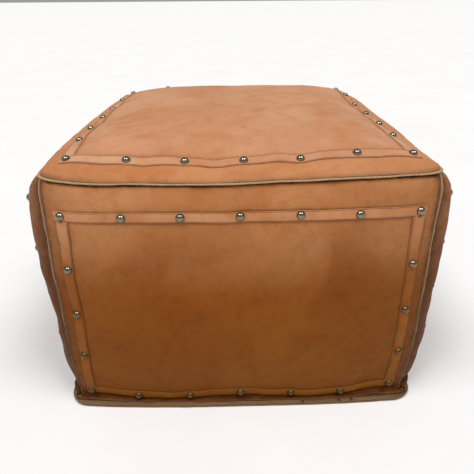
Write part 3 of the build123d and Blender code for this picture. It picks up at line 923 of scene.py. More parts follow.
def top_grid(step):
    n = int(2 * HALF / step)
    core = np.linspace(-1, 1, n + 1)
    edge = [0.0, 0.25, 0.8, 1.6, 2.5, 3.4, 4.6, 6.2]
    L = HALF + BOW * 0.8
    e = np.array(edge) / L
    core = core[(core > -1 + 9.0 / L) & (core < 1 - 9.0 / L)]
    t = np.concatenate([-1 + e, core, (1 - e)[::-1]])
    A, B = np.meshgrid(t, t)
    X = A * (HALF + BOW * (1 - np.abs(B) ** 3))
    Y = B * (HALF + BOW * (1 - np.abs(A) ** 3))
    # corners a little rounded in plan
    ea, eb = (1 - np.abs(A)) * L, (1 - np.abs(B)) * L
    pull = 4.0 * np.exp(-(ea + eb) / 9.0)
    Zh = top_height(A, B, X, Y)
    X = X - np.sign(A) * pull
    Y = Y - np.sign(B) * pull
    P = np.stack([X, Y, Zh], -1)
    em = np.minimum(ea, eb)
    fx = TOP_F + TOP_FB * (1 - (np.clip(np.abs(Y) / TOP_F, 0, 1)) ** 2)
    fy = TOP_F + TOP_FB * (1 - (np.clip(np.abs(X) / TOP_F, 0, 1)) ** 2)
    fd = np.minimum(np.hypot(np.abs(X) - fx, np.maximum(0, np.abs(Y) - TOP_F)), np.hypot(np.abs(Y) - fy, np.maximum(0, np.abs(X) - TOP_F)))
    # painted shade at the top's edge under the welt, broader towards all edges, and at the edges of the sewn strips
    d = 0.8 * np.exp(-em / 1.3) + 0.2 * np.exp(-em / 14)
    d = np.maximum(d, 0.62 * np.exp(-np.maximum(fd - STRIP_W / 2 - 0.1, 0) / 0.9) + 0.14 * np.exp(-np.maximum(fd - STRIP_W / 2, 0) / 6))
    raw = 0.55 * np.exp(-em / 0.7)
    return P, np.clip(d, 0, 1), raw


P, dark, raw = top_grid(STEP)
V, F = shell(P, THICK * 0.9)
top_ob = new_mesh("top_panel_leather", V, F, M_TOP,
                  attrs={"dark": np.concatenate([dark.ravel(), dark.ravel() * 0 + 0.3]), "raw": np.concatenate([raw.ravel(), raw.ravel() * 0])})
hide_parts("top_panel")


# ------------------------------------------------------------------ outlines in plan
def plan(inset_half, bow, corner, n_side=150, n_corner=14):
    """closed bowed square with rounded corners: points (n, 2), outward normals, side index, and x along the side"""
    pts, nor, sid, xs = [], [], [], []
    hc = inset_half
    for i in range(4):
        # arc round the corner before side i (x = -h), then the side
        xe = hc - corner
        x = np.linspace(-xe, xe, n_side)
        y = -(hc + bow * (1 - np.abs(x / hc) ** 3))
        dydx = 3 * bow * np.sign(x) * np.abs(x / hc) ** 2 / hc
        n = unit(np.stack([dydx, -np.ones_like(x), 0 * x], -1))
        n = np.stack([n[:, 0] * 1.0, n[:, 1], n[:, 2]], -1)
        S = np.stack([x, y, 0 * x], -1)
        # corner: blend from this side's end to the next side's start
        a, b = S[-1], turn(S[0], 1)
        ta = unit(np.array([1.0, dydx[-1], 0]))
        tb = turn(unit(np.array([1.0, dydx[0], 0])), 1)
        k = corner * 1.15
        u = np.linspace(0, 1, n_corner + 2)[1:-1][:, None]
        C = (1 - u) ** 3 * a + 3 * (1 - u) ** 2 * u * (a + ta * k * 0.55) + 3 * (1 - u) * u * u * (b - tb * k * 0.55) + u ** 3 * b
        P = np.concatenate([S, C])
        pts.append(turn(P, i))
        sid += [i] * len(P)
        xs.append(np.concatenate([x, np.full(len(C), hc)]))
    P = np.concatenate(pts)
    T = unit(np.roll(P, -1, 0) - np.roll(P, 1, 0))
    N = np.stack([T[:, 1], -T[:, 0], 0 * T[:, 0]], -1)
    return P, T, N, np.array(sid), np.concatenate(xs)


def arc_len(P, closed=True):
    d = np.linalg.norm(np.roll(P, -1, 0) - P, axis=1)
    return np.concatenate([[0], np.cumsum(d)[:-1]]), d.sum()


def rounded_section(w0, w1, t, r, k=4):
    """closed section from w0 (inner) to w1 (outer), thickness t, with the outer edge rounded by r: (a, b) pairs"""
    pts = [(w0, -t / 2), ((w0 + w1) / 2, -t / 2)]
    for a in np.linspace(-90, 0, k):
        pts.append((w1 - r + r * math.cos(math.radians(a)), -t / 2 + r + r * math.sin(math.radians(a))))
    for a in np.linspace(0, 90, k):
        pts.append((w1 - r + r * math.cos(math.radians(a)), t / 2 - r + r * math.sin(math.radians(a))))
    pts += [((w0 + w1) / 2, t / 2), (w0, t / 2)]
    return np.array(pts)


# ------------------------------------------------------------------ top welt
P, T, N, sid, xs = plan(HALF, BOW, 14.0, 170)
s, total = arc_len(P)
ang = s / total * TAU


def loop_noise(scale, seed, a=ang, L=total):
    r = L / TAU
    return vnoise(r * np.cos(a), r * np.sin(a), 0, scale, seed)


cornerness = np.clip(np.minimum(np.abs(P[:, 0]), np.abs(P[:, 1])) / HALF, 0, 1)
rise = EAR * np.clip(cornerness * 1.02, 0, 1) ** 9
proud = 2.5 + 0.55 * loop_noise(28, 401) + 0.3 * loop_noise(9, 402) - 0.8 * cornerness ** 12
wave = 0.75 * loop_noise(42, 403) + 0.3 * loop_noise(14, 404)
sec = rounded_section(-6.0, 0.0, 1.7, 0.55, 4)
tilt = 0.10 * loop_noise(60, 405) - 0.02
S = np.zeros((len(P), len(sec), 3))
for k, (a, b) in enumerate(sec):
    out = a + (proud if a > -5 else 0 * proud)
    out = np.where(a < -5, -6.0, a + proud * (1 if a > -1.5 else 0.5))
    S[:, k] = P + N * out[:, None]
    S[:, k, 2] = ZW + 0.45 + rise + (b if a < -5 else 1) * 0 + b * 1.0 + wave * np.clip((out + 6) / 8, 0, 1) + tilt * np.maximum(out, 0)
V, F = sweep(S, closed_path=True)
raw = np.tile(np.array([0.25 if a < -1.2 else 1.0 for a, b in sec]), len(P)) * 0.85
# painted shade on the welt's underside and on its part tucked into the seam
dk = np.tile(np.array([0.75 if a < -5 else (0.35 if b < 0 and a < -1 else 0.05) for a, b in sec]), len(P))
ob = new_mesh("top_welt_leather", V, F, M_WELT, attrs={"dark": dk, "raw": raw})
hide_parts("top_welt")

# ------------------------------------------------------------------ corner welts
for ci, (name, k) in enumerate((("front_right", 0), ("back_right", 1), ("back_left", 2), ("front_left", 3))):
    z = np.concatenate([np.linspace(5.2, 20, 8), np.linspace(24, 320, 90), np.linspace(323, 338.6, 9)])
    h = half(np.clip(z, ZL, ZT))
    dirn = np.array([1, -1, 0]) / math.sqrt(2)
    side_dir = np.array([1, 1, 0]) / math.sqrt(2)
    tt = np.clip((z - ZL) / (ZW - ZL), 0, 1)
    zz = z + EAR * smooth(0.5, 1.0, tt) * 0.85
    proud = -2.5 + 0.5 * vnoise(z, 0, 0, 24, 431 + ci) + 0.25 * vnoise(z, 0, 0, 8, 435 + ci)
    proud = proud + 2.2 * np.exp(-np.maximum(z - 6, 0) / 5.0)
    # leans against the left or right panel, so the gap opens on the front and back panels' side
    lean = (0.45 if ci in (0, 2) else -0.45) + 0.25 * vnoise(z, 0, 0, 55, 441 + ci) + 0.15 * vnoise(z, 0, 0, 15, 445 + ci)
    sec = rounded_section(-9.0, 0.0, 1.1, 0.42, 4)
    S = np.zeros((len(z), len(sec), 3))
    for q, (a, b) in enumerate(sec):
        out = np.where(a < -8, -9.0, a + proud * (1 if a > -1.5 else 0.4))
        base = dirn * (math.sqrt(2) * h)[:, None]
        S[:, q] = base + dirn * out[:, None] + side_dir * (b + lean * np.clip((out + 4) / 7, 0, 1.2))[:, None]
        S[:, q, 2] = zz
    S = turn(S, k)
    V, F = sweep(S)
    # the pale cut edge fades out and painted shade grows towards the foot; painted shade also on the part sunk in the
    # corner seam
    raw = np.tile(np.array([0.1 if a < -1.2 else 1.0 for a, b in sec]), len(z)) * 0.6 * np.repeat(0.05 + 0.95 * smooth(90, 270, z), len(sec))
    dk = np.tile(np.array([0.8 if a < -8 else (0.3 if a < -1 else 0.05) for a, b in sec]), len(z))
    dk = np.maximum(dk, np.repeat(0.6 * (1 - smooth(70, 250, z)), len(sec)))
    raw, dk = np.append(raw, [0.5, 0.5]), np.append(dk, [0.3, 0.3])
    ob = new_mesh(f"corner_welt_{name}_leather", V, F, M_WELT, attrs={"dark": dk, "raw": raw})
    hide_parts(f"corner_welt_{name}")

# ------------------------------------------------------------------ base flange, in lengths butted end to end
HB = float(half(np.array(ZL)))
P, T, N, sid, xs = plan(HB + 13.0, BOW_B - 0.8, 27.0, 150, 26)
s, total = arc_len(P)
ang = s / total * TAU


def loop_at(a, scale, seed, L):
    r = L / TAU
    return vnoise(r * np.cos(a), r * np.sin(a), 0, scale, seed)


def path_at(q):
    """position and outward normal at arc length q along the flange's edge"""
    q = np.mod(q, total)
    k = np.searchsorted(s, q, side="right") - 1
    k2 = (k + 1) % len(P)
    f = (q - s[k]) / np.maximum(np.where(k2 == 0, total, s[k2]) - s[k], 1e-6)
    f = f[:, None]
    return P[k] * (1 - f) + P[k2] * f, unit(N[k] * (1 - f) + N[k2] * f)


def s_at_x(side, x):
    m = np.where((sid == side) & (np.abs(P @ np.array([[1, 0, 0], [0, 1, 0], [-1, 0, 0], [0, -1, 0]][side]) - x) < 4))[0]
    return s[m[0]]


cuts = sorted([s_at_x(0, 88.0), s_at_x(0, 141.0), s_at_x(0, 158.0), s_at_x(1, 30.0), s_at_x(2, -95.0), s_at_x(2, 120.0), s_at_x(3, 64.0)])
parts, raws, darks = [], [], []
sec = np.array([(-25, 0.0), (-12, 0.0), (-1.0, 0.0), (-0.35, 0.15), (0.0, 0.6), (0.05, 1.2), (0.0, 1.8), (-0.4, 2.25), (-1.1, 2.45), (-6, 2.5), (-13, 2.5), (-25, 2.5)])
sec_raw = np.array([0, 0, 0.1, 0.2, 0.5, 0.8, 0.8, 0.6, 0.12, 0, 0, 0.0])
# painted shade: a contact shadow along the flange's foot and underside, and shade under the side panels' lip at its
# inner edge
sec_dark = np.array([0.8, 0.8, 0.8, 0.75, 0.5, 0.25, 0.12, 0.08, 0.05, 0.12, 0.5, 0.95])
for c0, c1 in zip(cuts, cuts[1:] + [cuts[0] + total]):
    short = (c1 - c0) < 40
    q = np.linspace(c0 + 0.45, c1 - 0.45, max(6, int((c1 - c0) / 4.0)))
    p, n = path_at(q)
    a = q / total * TAU
    wob = 0.9 * loop_at(a, 46, 501, total) + 0.45 * loop_at(a, 13, 502, total) + (0.5 if short else 0.0)
    curl = 0.45 * (0.5 + 0.5 * loop_at(a, 60, 503, total)) + 0.2 * (0.5 + 0.5 * loop_at(a, 17, 504, total)) + (0.25 if short else 0.0)
    S = np.zeros((len(q), len(sec), 3))
    for k, (o, z) in enumerate(sec):
        out = o + wob * np.clip((o + 25) / 20, 0, 1)
        S[:, k] = p + n * out[:, None]
        S[:, k, 2] = 2.45 + z + curl * np.clip((o + 12) / 12, 0, 1)
    v, f = sweep(S)
    parts.append((v, f))
    raws.append(np.append(np.tile(sec_raw, len(q)), [0.8, 0.8]))
    dd = np.tile(sec_dark, (len(q), 1))
    dd[0] = np.maximum(dd[0], 0.5)
    dd[-1] = np.maximum(dd[-1], 0.5)
    darks.append(np.append(dd.ravel(), [0.5, 0.5]))
V, F = join(parts)
ob = new_mesh("base_flange_leather", V, F, M_FLANGE, attrs={"dark": np.concatenate(darks), "raw": np.concatenate(raws)})
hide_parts("base_welt")


# ------------------------------------------------------------------ stitches
def capsule(seg=6):
    """unit capsule along x: length 1, radius 1 in y and z; (t, r) rings"""
    rings = [(-0.5, 0.0), (-0.46, 0.62), (-0.34, 0.95), (0.0, 1.0), (0.34, 0.95), (0.46, 0.62), (0.5, 0.0)]
    V = [(rings[0][0], 0, 0)]
    for t, r in rings[1:-1]:
        for k in range(seg):
            a = TAU * k / seg
            V.append((t, r * math.cos(a), r * math.sin(a)))
    V.append((rings[-1][0], 0, 0))
    F = []
    for k in range(seg):
        F.append([0, 1 + (k + 1) % seg, 1 + k])
    nr = len(rings) - 2
    for r in range(nr - 1):
        for k in range(seg):
            a, b = 1 + r * seg + k, 1 + r * seg + (k + 1) % seg
            F.append([a, b, b + seg, a + seg])
    e = len(V) - 1
    for k in range(seg):
        F.append([1 + (nr - 1) * seg + k, 1 + (nr - 1) * seg + (k + 1) % seg, e])
    return np.array(V, float), F


CAP_V, CAP_F = capsule(6)


def stitches(C, D, U, length, r, sink=0.35):
    """capsules centred at C, along D, standing on U; ends dip by sink"""
    D, U = unit(D), unit(U)
    W = unit(np.cross(D, U))
    U = np.cross(W, D)
    L = np.broadcast_to(np.asarray(length, float), (len(C),))
    t = CAP_V[:, 0][None, :, None]
    dip = -sink * (np.abs(CAP_V[:, 0]) * 2) ** 2.2
    V = C[:, None, :] + D[:, None, :] * t * L[:, None, None] + W[:, None, :] * (CAP_V[:, 1] * r)[None, :, None] + U[:, None, :] * (CAP_V[:, 2] * r * 0.85 + dip)[None, :, None]
    n = len(CAP_V)
    F = []
    for k in range(len(C)):
        F += [[i + k * n for i in f] for f in CAP_F]
    return V.reshape(-1, 3), F


# ------------------------------------------------------------------ trim strips
HWS = STRIP_W / 2


def strip_section(hw):
    g = STITCH - 6.9 + hw
    return np.array([(-hw, -0.5), (-hw, 0.7), (-hw + 0.25, 1.1), (-g - 0.35, 1.2), (-g, 0.95), (-g + 0.45, 1.35), (-4.2, 1.58), (-2.8, 1.7), (-1.4, 1.76), (0, 1.78),
                     (1.4, 1.76), (2.8, 1.7), (4.2, 1.58), (g - 0.45, 1.35), (g, 0.95), (g + 0.35, 1.2), (hw - 0.25, 1.1), (hw, 0.7), (hw, -0.5), (3, -0.5), (-3, -0.5)])


# painted shade at the strip's foot and edges and in its stitch grooves
SEC_DARK = np.array([0.9, 0.55, 0.3, 0.4, 0.55, 0.15, 0.03, 0, 0, 0, 0, 0, 0.03, 0.15, 0.5, 0.3, 0.15, 0.4, 0.9, 0.5, 0.5])
SEC_RAW = np.array([0.0, 0.04, 0.03, 0.0, 0, 0, 0, 0, 0, 0, 0, 0, 0, 0, 0, 0.04, 0.12, 0.10, 0.05, 0, 0])


def strip(point, path, lat, seed, hw, ends=(True, True)):
    """path (n, 2) in the face's own coordinates, lat (n, 2) across it. Returns (V, F), dark, raw and the stitches"""
    n = len(path)
    d = np.concatenate([[0], np.cumsum(np.linalg.norm(np.diff(path, axis=0), axis=1))])
    L = d[-1]
    wob = 0.75 * vnoise(d, seed * 13.0, 0, 70, 601 + seed) + 0.3 * vnoise(d, seed * 13.0, 0, 19, 631 + seed)
    wid = 1 + 0.03 * vnoise(d, seed * 7.0, 0, 33, 661 + seed)
    sec = strip_section(hw)
    S = np.zeros((n, len(sec), 3))
    for k, (w, h) in enumerate(sec):
        q = path + lat * (wob + w * wid)[:, None]
        endf = np.minimum(d, L - d)
        hh = h - (0.35 * np.exp(-endf / 0.5) if h > 0 else 0)
        p, _ = point(q[:, 0], q[:, 1], hh if np.ndim(hh) else np.full(n, hh))
        S[:, k] = p
    V, F = sweep(S)
    dk = np.tile(SEC_DARK, (n, 1)).astype(float)
    rw = np.tile(SEC_RAW, (n, 1)).astype(float)
    for e, on in zip((0, -1), ends):
        if on:
            rw[e] = np.maximum(rw[e], 0.5)
            dk[e] = np.maximum(dk[e], 0.25)
    dk, rw = np.append(dk.ravel(), [0.5, 0.5]), np.append(rw.ravel(), [0.6, 0.6])
    # stitches along both sides
    pitch = 3.05
    m = int((L - 3.0) / pitch)
    t = 1.5 + (np.arange(m) + 0.5) * (L - 3.0) / m
    st = []
    for sgn in (-1, 1):
        px = np.interp(t, d, path[:, 0]) + np.interp(t, d, lat[:, 0] * (wob + sgn * (STITCH - 6.9 + hw) * wid))
        pz = np.interp(t, d, path[:, 1]) + np.interp(t, d, lat[:, 1] * (wob + sgn * (STITCH - 6.9 + hw) * wid))
        dx = np.interp(t + 0.5, d, path[:, 0]) - np.interp(t - 0.5, d, path[:, 0])
        dz = np.interp(t + 0.5, d, path[:, 1]) - np.interp(t - 0.5, d, path[:, 1])
        a, nn = point(px, pz, np.full(m, 1.12))
        b, _ = point(px + dx, pz + dz, np.full(m, 1.12))
        jit = 0.1 * vnoise(t * 9.7, seed, sgn, 1.0, 701)
        st.append(stitches(a + unit(b - a) * jit[:, None], b - a, nn, 2.35, 0.36, sink=0.32))
    return (V, F), dk, rw, st


def side_fn(i):
    return lambda x, z, off: side_point(i, x, z, off)


XE = 3 * PITCH + 6.6
strip_objs = []
for i, side in enumerate(SIDES):
    allst = []
    nlong = int(2 * XE / (3.6))
    x = np.concatenate([[-XE, -XE + 0.4, -XE + 1.2], np.linspace(-XE + 4, XE - 4, nlong), [XE - 1.2, XE - 0.4, XE]]) + 0.0
    x = np.sign(x) * (np.abs(x) - (1 - SF[i]) * 3 * PITCH * np.clip(np.abs(x) / XE, 0, 1))
    zh, zl, xc = Z_HI + SZ[i], Z_LO + SZ[i], 3 * PITCH * SF[i]
    z0, z1 = zl + HWS - 0.6, zh - HWS + 0.6
    z = np.linspace(z0, z1, int((z1 - z0) / (3.6)))
    defs = {
        "upper": (np.stack([x, np.full_like(x, zh)], -1), np.tile([0.0, 1.0], (len(x), 1))),
        "lower": (np.stack([x, np.full_like(x, zl)], -1), np.tile([0.0, 1.0], (len(x), 1))),
        "left": (np.stack([np.full_like(z, -xc), z], -1), np.tile([-1.0, 0.0], (len(z), 1))),
        "right": (np.stack([np.full_like(z, xc), z], -1), np.tile([-1.0, 0.0], (len(z), 1))),
    }
    for q, (key, (path, lat)) in enumerate(defs.items()):
        (V, F), dk, rw, st = strip(side_fn(i), path, lat, 10 * i + q, HWS)
        if key in ("left", "right"):
            pass
        ob = new_mesh(f"{side}_strip_{key}_leather", turn(V, i), F, M_STRIP, attrs={"dark": dk, "raw": rw})
        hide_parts(f"{side}_strip_{key}")
        allst += [(turn(v, i), f) for v, f in st]
    V, F = join(allst)
    new_mesh(f"{side}_strip_stitching", V, F, M_THREAD)

HWT = 7.3
allst = []
for i, key in enumerate(("front", "right", "back", "left")):
    ext = TOP_F + 6.8 if i % 2 == 0 else TOP_F - HWT + 0.5
    x = np.linspace(-ext, ext, int(2 * ext / (3.6)))
    if i % 2 == 0:
        x = np.concatenate([[-ext, -ext + 0.4, -ext + 1.2], x[2:-2], [ext - 1.2, ext - 0.4, ext]])
    y = -(TOP_F + TOP_FB * (1 - np.clip(x / TOP_F, -1, 1) ** 2))
    dy = 2 * TOP_FB * np.clip(x / TOP_F, -1, 1) / TOP_F
    path = np.stack([x, y], -1)
    lat = np.stack([-dy, np.ones_like(x)], -1)
    lat /= np.linalg.norm(lat, axis=1, keepdims=True)
    # the front strip was laid with a slight dip left of its middle
    if key == "front":
        path[:, 1] -= 1.6 * np.exp(-((x + 95) / 70) ** 2)

    def fn(a, b, off, i=i):
        # face coordinates of this side, turned into the top panel's own
        c, s_ = [(1, 0), (0, 1), (-1, 0), (0, -1)][i]
        return top_point(c * a - s_ * b, s_ * a + c * b, off)
    (V, F), dk, rw, st = strip(fn, path, lat, 50 + i, HWT)
    ob = new_mesh(f"top_strip_{key}_leather", V, F, M_STRIP_TOP, attrs={"dark": dk, "raw": rw})
    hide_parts(f"top_strip_{key}")
    allst += st
V, F = join(allst)
new_mesh("top_strip_stitching", V, F, M_THREAD)

# ------------------------------------------------------------------ coarse stitching of the base seam
Pb, Tb, Nb, sb, xb = plan(HB + 6.2, BOW_B, 7.0, 170, 12)
sB, totB = arc_len(Pb)
q = np.arange(0, totB - 3, 6.3)
idx = np.searchsorted(sB, q, side="right") - 1
C = Pb[idx] + Tb[idx] * (q - sB[idx])[:, None]
a = q / totB * TAU
slant = 0.10 * loop_at(a * 40, 1.0, 811, 60.0)
Dn = unit(Tb[idx] + Nb[idx] * slant[:, None])
C = C + Nb[idx] * (0.35 * loop_at(a, 9, 812, totB))[:, None]
C[:, 2] = 6.35 + 0.35 * loop_at(a, 17, 813, totB)
V, F = stitches(C, Dn, np.tile([0.0, 0, 1], (len(C), 1)), 5.3 + 0.6 * loop_at(a, 11, 814, totB), 0.95, sink=0.7)
# a lock-stitch line pulls the thread down between stitches
C2 = Pb[idx] + Tb[idx] * (q + 3.15 - sB[idx])[:, None]
C2[:, 2] = 5.6
V2, F2 = stitches(C2, Tb[idx], np.tile([0.0, 0, 1], (len(C), 1)), 2.6, 0.6, sink=0.1)
V, F = join([(V, F), (V2, F2)])
ob = new_mesh("base_seam_stitching", V, F, M_THREAD_BASE)
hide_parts("base_seam_thread")


# ------------------------------------------------------------------ studs
def stud_mesh(seg):
    prof = [(0.0, 4.45), (0.7, 4.42), (1.5, 4.28), (2.3, 4.0), (3.05, 3.57), (3.7, 3.0), (4.25, 2.3), (4.65, 1.55), (4.88, 0.9), (4.96, 0.4), (5.0, 0.05), (4.9, -0.2), (4.3, -0.35)]
    V = [(0, 0, prof[0][1])]
    D = [0.0]
    for r, h in prof[1:]:
        for k in range(seg):
            t = TAU * k / seg
            V.append((r * math.cos(t), r * math.sin(t), h))
            D.append(0.0 if h > 1.4 else (0.25 if h > 0.6 else 0.9))
    V.append((0, 0, -0.35))
    D.append(1.0)
    n = len(prof) - 1
    F = [[0, 1 + k, 1 + (k + 1) % seg] for k in range(seg)]
    for r in range(n - 1):
        for k in range(seg):
            a, b = 1 + r * seg + k, 1 + r * seg + (k + 1) % seg
            F.append([a, a + seg, b + seg, b])
    e = len(V) - 1
    F += [[1 + (n - 1) * seg + k, e, 1 + (n - 1) * seg + (k + 1) % seg] for k in range(seg)]
    return np.array(V), F, np.array(D)


SV, S_FACES, SD = stud_mesh(28)


def studs(name, P, N, seed, node):
    V, F, D = [], [], []
    P = slouch(P)
    for k in range(len(P)):
        j = [float(vnoise(k * 3.7, seed * 1.3, m * 2.1, 1.0, 900 + m)) for m in range(6)]
        n = unit(N[k] + np.array([j[0], j[1], j[2]]) * 0.05)
        t = unit(np.cross(n, [0.3, 0.5, 0.81]))
        b = np.cross(n, t)
        sc = 1.05 + 0.03 * j[3]
        # a hammered dome is never quite round
        v = SV * np.array([sc * (1 + 0.02 * j[4]), sc * (1 - 0.02 * j[4]), sc * (1 + 0.05 * j[5])])
        v = v + 0.06 * np.stack([vnoise(SV[:, 0] + 31 * k, SV[:, 1], SV[:, 2], 2.2, 930 + m) for m in range(3)], -1)
        V.append(P[k] + v[:, :1] * t + v[:, 1:2] * b + v[:, 2:3] * n)
        F += [[i + k * len(SV) for i in f] for f in S_FACES]
        D.append(SD)
    ob = new_mesh(name, np.concatenate(V), F, M_STUD, attrs={"dark": np.concatenate(D)}, drift=False)
    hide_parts(node)


for i, side in enumerate(SIDES):
    st = side_studs(i)
    d = np.stack([0.5 * vnoise(np.arange(len(st)) * 2.3, i * 5.0, 0, 1.0, 951), 0.5 * vnoise(np.arange(len(st)) * 2.3, i * 5.0, 0, 1.0, 952)], -1)
    p, n = side_point(i, st[:, 0] + d[:, 0], st[:, 1] + d[:, 1], np.full(len(st), 1.75))
    studs(f"{side}_studs_nickel", turn(p, i), turn(n, i), i, f"{side}_studs")
st = top_studs()
st = st + np.stack([0.5 * vnoise(np.arange(len(st)) * 2.3, 77, 0, 1.0, 953), 0.5 * vnoise(np.arange(len(st)) * 2.3, 77, 0, 1.0, 954)], -1)
m = (np.abs(st[:, 1] + TOP_F) < 12) & (np.abs(st[:, 0]) < TOP_F - 5)
st[m, 1] -= 1.6 * np.exp(-((st[m, 0] + 95) / 70) ** 2)
p, n = top_point(st[:, 0], st[:, 1], np.full(len(st), 1.75))
studs("top_studs_nickel", p, n, 9, "top_studs")


# ------------------------------------------------------------------ liner bag and stuffing
def bag(name, inset, mat, node, n=30):
    V, F, base = [], [], 0
    xh = np.linspace(-1, 1, n + 1)
    zb, zt = 3.2 + 0.6 * (inset - 6), ZW - 2 - inset
    nz = 22

    def groove(x, y):
        return (10.8 - (zb - 3.2)) * (1 - smooth(24, 36, np.abs(x))) * (1 - smooth(208, 222, np.abs(y)))
    parts = []
    for i in range(4):
        tz = np.linspace(0, 1, nz + 1)
        G = np.zeros((nz + 1, n + 1, 3))
        for r, t in enumerate(tz):
            z = zb + t * (zt - zb)
            h = float(half(np.array(np.clip(z, ZL, ZT)))) - inset
            G[r, :, 0] = xh * h
            G[r, :, 1] = -(h + float(bow(np.array(float(z)))) * (1 - np.abs(xh) ** 3))
            G[r, :, 2] = z
        parts.append((turn(G, i).reshape(-1, 3), grid_quads(nz + 1, n + 1)))
    A, B = np.meshgrid(xh, xh)
    ht = float(half(np.array(ZT))) - inset if zt >= ZT else float(half(np.array(zt))) - inset
    X, Y = A * (ht + BOW * (1 - np.abs(B) ** 3)), B * (ht + BOW * (1 - np.abs(A) ** 3))
    s_ = np.maximum(np.abs(A), np.abs(B))
    parts.append((np.stack([X, Y, zt + (CROWN + 1.0) * (1 - s_ ** CROWN_N)], -1).reshape(-1, 3), grid_quads(n + 1, n + 1)))
    hb = float(half(np.array(ZL))) - inset
    X, Y = A * (hb + BOW_B * (1 - np.abs(B) ** 3)), B * (hb + BOW_B * (1 - np.abs(A) ** 3))
    parts.append((np.stack([X, Y, zb + groove(X, Y) * (s_ < 0.999)], -1).reshape(-1, 3), grid_quads(n + 1, n + 1)[:, ::-1]))
    V, F = join(parts)
    ob = new_mesh(name, V, F, mat)
    import bmesh
    bm = bmesh.new()
    bm.from_mesh(ob.data)
    bmesh.ops.remove_doubles(bm, verts=bm.verts, dist=0.0004)
    up = [v for v in bm.verts if v.co.z > 0.02]
    for _ in range(4):
        bmesh.ops.smooth_vert(bm, verts=up, factor=0.5, use_axis_x=True, use_axis_y=True, use_axis_z=True)
    bmesh.ops.recalc_face_normals(bm, faces=bm.faces)
    bm.to_mesh(ob.data)
    bm.free()
    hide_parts(node)
    return ob


bag("liner_bag", 6.4, M_LINER, "inner_liner")
bag("stuffing_body", 8.0, M_WADDING, "stuffing")


# ------------------------------------------------------------------ zip teeth
def teeth(sx, offset):
    prof = [(2.7, 0.62), (1.3, 0.5), (0.7, 0.42), (0.25, 0.66), (-0.25, 0.7), (-0.55, 0.45)]
    ys = np.arange(-197.6 + offset, 199.2, 3.0)
    V1 = []
    for x, w in prof:
        V1 += [(x, -w, 7.1), (x, w, 7.1), (x, w, 9.1), (x, -w, 9.1)]
    V1 = np.array(V1)
    F1 = []
    for r in range(len(prof) - 1):
        for k in range(4):
            a, b = r * 4 + k, r * 4 + (k + 1) % 4
            F1.append([a, b, b + 4, a + 4])
    F1.append([3, 2, 1, 0])
    e = (len(prof) - 1) * 4
    F1.append([e, e + 1, e + 2, e + 3])
    V, F = [], []
    for k, y in enumerate(ys):
        v = V1.copy()
        v[:, 0] *= sx
        v[:, 1] += y
        V.append(v)
        F += [[i + k * len(V1) for i in (f if sx < 0 else f[::-1])] for f in F1]
    return np.concatenate(V), F


for name, sx, off in (("left", -1, 0.0), ("right", 1, 1.5)):
    V, F = teeth(sx, off)
    ob = new_mesh(f"zip_teeth_{name}_brass", V, F, M_ZIP, flat=True)
    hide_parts(f"zip_teeth_{name}")

# ------------------------------------------------------------------ carried-over CAD pieces
LIM, CC = HB + 12.4, HB + 13.0 - 27.0
for side in ("left", "right"):
    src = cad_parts[f"base_panel_{side}"]
    n = len(src.data.vertices)
    co = np.empty(n * 3)
    src.data.vertices.foreach_get("co", co)
    M = np.array(src.matrix_world)
    co = (co.reshape(-1, 3) @ M[:3, :3].T + M[:3, 3]) / MM
    x, y = co[:, 0].copy(), co[:, 1].copy()
    lx = LIM + (BOW_B - 0.8) * (1 - np.clip(np.abs(y) / LIM, 0, 1) ** 3)
    ly = LIM + (BOW_B - 0.8) * (1 - np.clip(np.abs(x) / LIM, 0, 1) ** 3)
    x2, y2 = np.clip(x, -lx, lx), np.clip(y, -ly, ly)
    # corners: onto the smaller arc
    corner = (np.abs(x2) > CC) & (np.abs(y2) > CC)
    dx, dy = np.abs(x2) - CC, np.abs(y2) - CC
    r = np.maximum(np.hypot(dx, dy), 1e-6)
    f = np.minimum(1.0, 26.4 / r)
    x2 = np.where(corner, np.sign(x2) * (CC + dx * f), x2)
    y2 = np.where(corner, np.sign(y2) * (CC + dy * f), y2)
    co[:, 0], co[:, 1] = x2, y2
    faces = [list(q.vertices) for q in src.data.polygons]
    ob = new_mesh(f"base_leather_{side}", co, faces, M_BASE, flat=True, drift=False)
    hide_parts(f"base_panel_{side}")

# the zip's channel is closed at both ends by a small leather gusset
sec = [(-25.7, 0.3), (-14.0, 6.8), (-6.4, 6.8), (-6.4, 9.3), (6.4, 9.3), (6.4, 6.8), (14.0, 6.8), (25.7, 0.3)]
n = len(sec)
for name, y0, y1 in (("front", -214.9, -212.9), ("back", 212.9, 214.9)):
    V = [(x, y, z) for y in (y0, y1) for x, z in sec]
    F = [[(k + 1) % n, k, k + n, (k + 1) % n + n] for k in range(n)]
    F.append(list(range(n)))
    F.append([q + n for q in range(n)][::-1])
    ob = new_mesh(f"zip_end_gusset_{name}", V, F, M_BASE, flat=True, drift=False)
    import bmesh
    bm = bmesh.new()
    bm.from_mesh(ob.data)
    bmesh.ops.recalc_face_normals(bm, faces=bm.faces)
    bm.to_mesh(ob.data)
    bm.free()

for node, mat in (("zip_tape_left", M_TAPE), ("zip_tape_right", M_TAPE),
                  ("zip_slider", M_ZIP), ("zip_pull_tab", M_ZIP), ("zip_top_stops", M_ZIP), ("zip_bottom_stop", M_ZIP)):
    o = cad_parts[node]
    o.data.materials.clear()
    o.data.materials.append(mat)


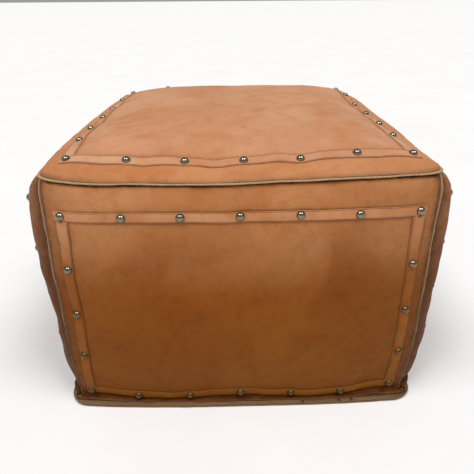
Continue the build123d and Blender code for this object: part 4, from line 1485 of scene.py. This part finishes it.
# ------------------------------------------------------------------ floor, light, camera
def floor_mat():
    N = Nodes("floor_paper")
    p = N.coord()
    n = N.noise(3.0, 4.0, 0.6, p)
    N.set("Base Color", N.mix(N.ramp(n, 0.3, 0.7), (0.84, 0.835, 0.825), (0.88, 0.875, 0.865)))
    N.set("Roughness", 0.85)
    return N.m


me = bpy.data.meshes.new("floor")
k = 160.0
me.from_pydata([(-k, -k, -0.0004), (k, -k, -0.0004), (k, k, -0.0004), (-k, k, -0.0004)], [], [(0, 1, 2, 3)])
floor = bpy.data.objects.new("floor", me)
bpy.context.scene.collection.objects.link(floor)
me.materials.append(floor_mat())

world = bpy.data.worlds.new("studio")
bpy.context.scene.world = world
world.use_nodes = True
world.node_tree.nodes["Background"].inputs[0].default_value = (1.0, 1.0, 1.0, 1)
world.node_tree.nodes["Background"].inputs[1].default_value = 0.34


def sun(name, frm, power, angle):
    L = bpy.data.lights.new(name, "SUN")
    L.energy = power
    L.angle = math.radians(angle)
    o = bpy.data.objects.new(name, L)
    o.location = frm
    o.rotation_euler = (-Vector(frm)).to_track_quat("-Z", "Y").to_euler()
    bpy.context.scene.collection.objects.link(o)


# two wide soft lights overhead, left and right of the camera
sun("key_left", (-0.80, -0.50, 1.95), 1.50, 24)
sun("key_right", (0.80, -0.50, 1.95), 1.40, 24)

cam = bpy.data.cameras.new("camera")
co = bpy.data.objects.new("camera", cam)
bpy.context.scene.collection.objects.link(co)
pit, yaw, roll = 0.4165, 0.0152, -0.0074
cp, sp = math.cos(pit), math.sin(pit)
cy, sy = math.cos(yaw), math.sin(yaw)
cr, sr = math.cos(roll), math.sin(roll)
fwd = Vector((sy * cp, cy * cp, -sp))
right = Vector((cy, -sy, 0))
up = right.cross(fwd)
r2 = cr * right + sr * up
u2 = -sr * right + cr * up
co.matrix_world = Matrix(((r2.x, u2.x, -fwd.x, -0.011934), (r2.y, u2.y, -fwd.y, -0.696857), (r2.z, u2.z, -fwd.z, 0.524057), (0, 0, 0, 1)))
cam.sensor_width = 36.0
cam.lens = 441.68 / 474 * 36.0
cam.shift_y = -42.308 / 474
cam.clip_start, cam.clip_end = 0.01, 500
bpy.context.scene.camera = co

sc = bpy.context.scene
sc.view_settings.view_transform = "Standard"
sc.view_settings.look = "None"
sc.view_settings.exposure = 0.0
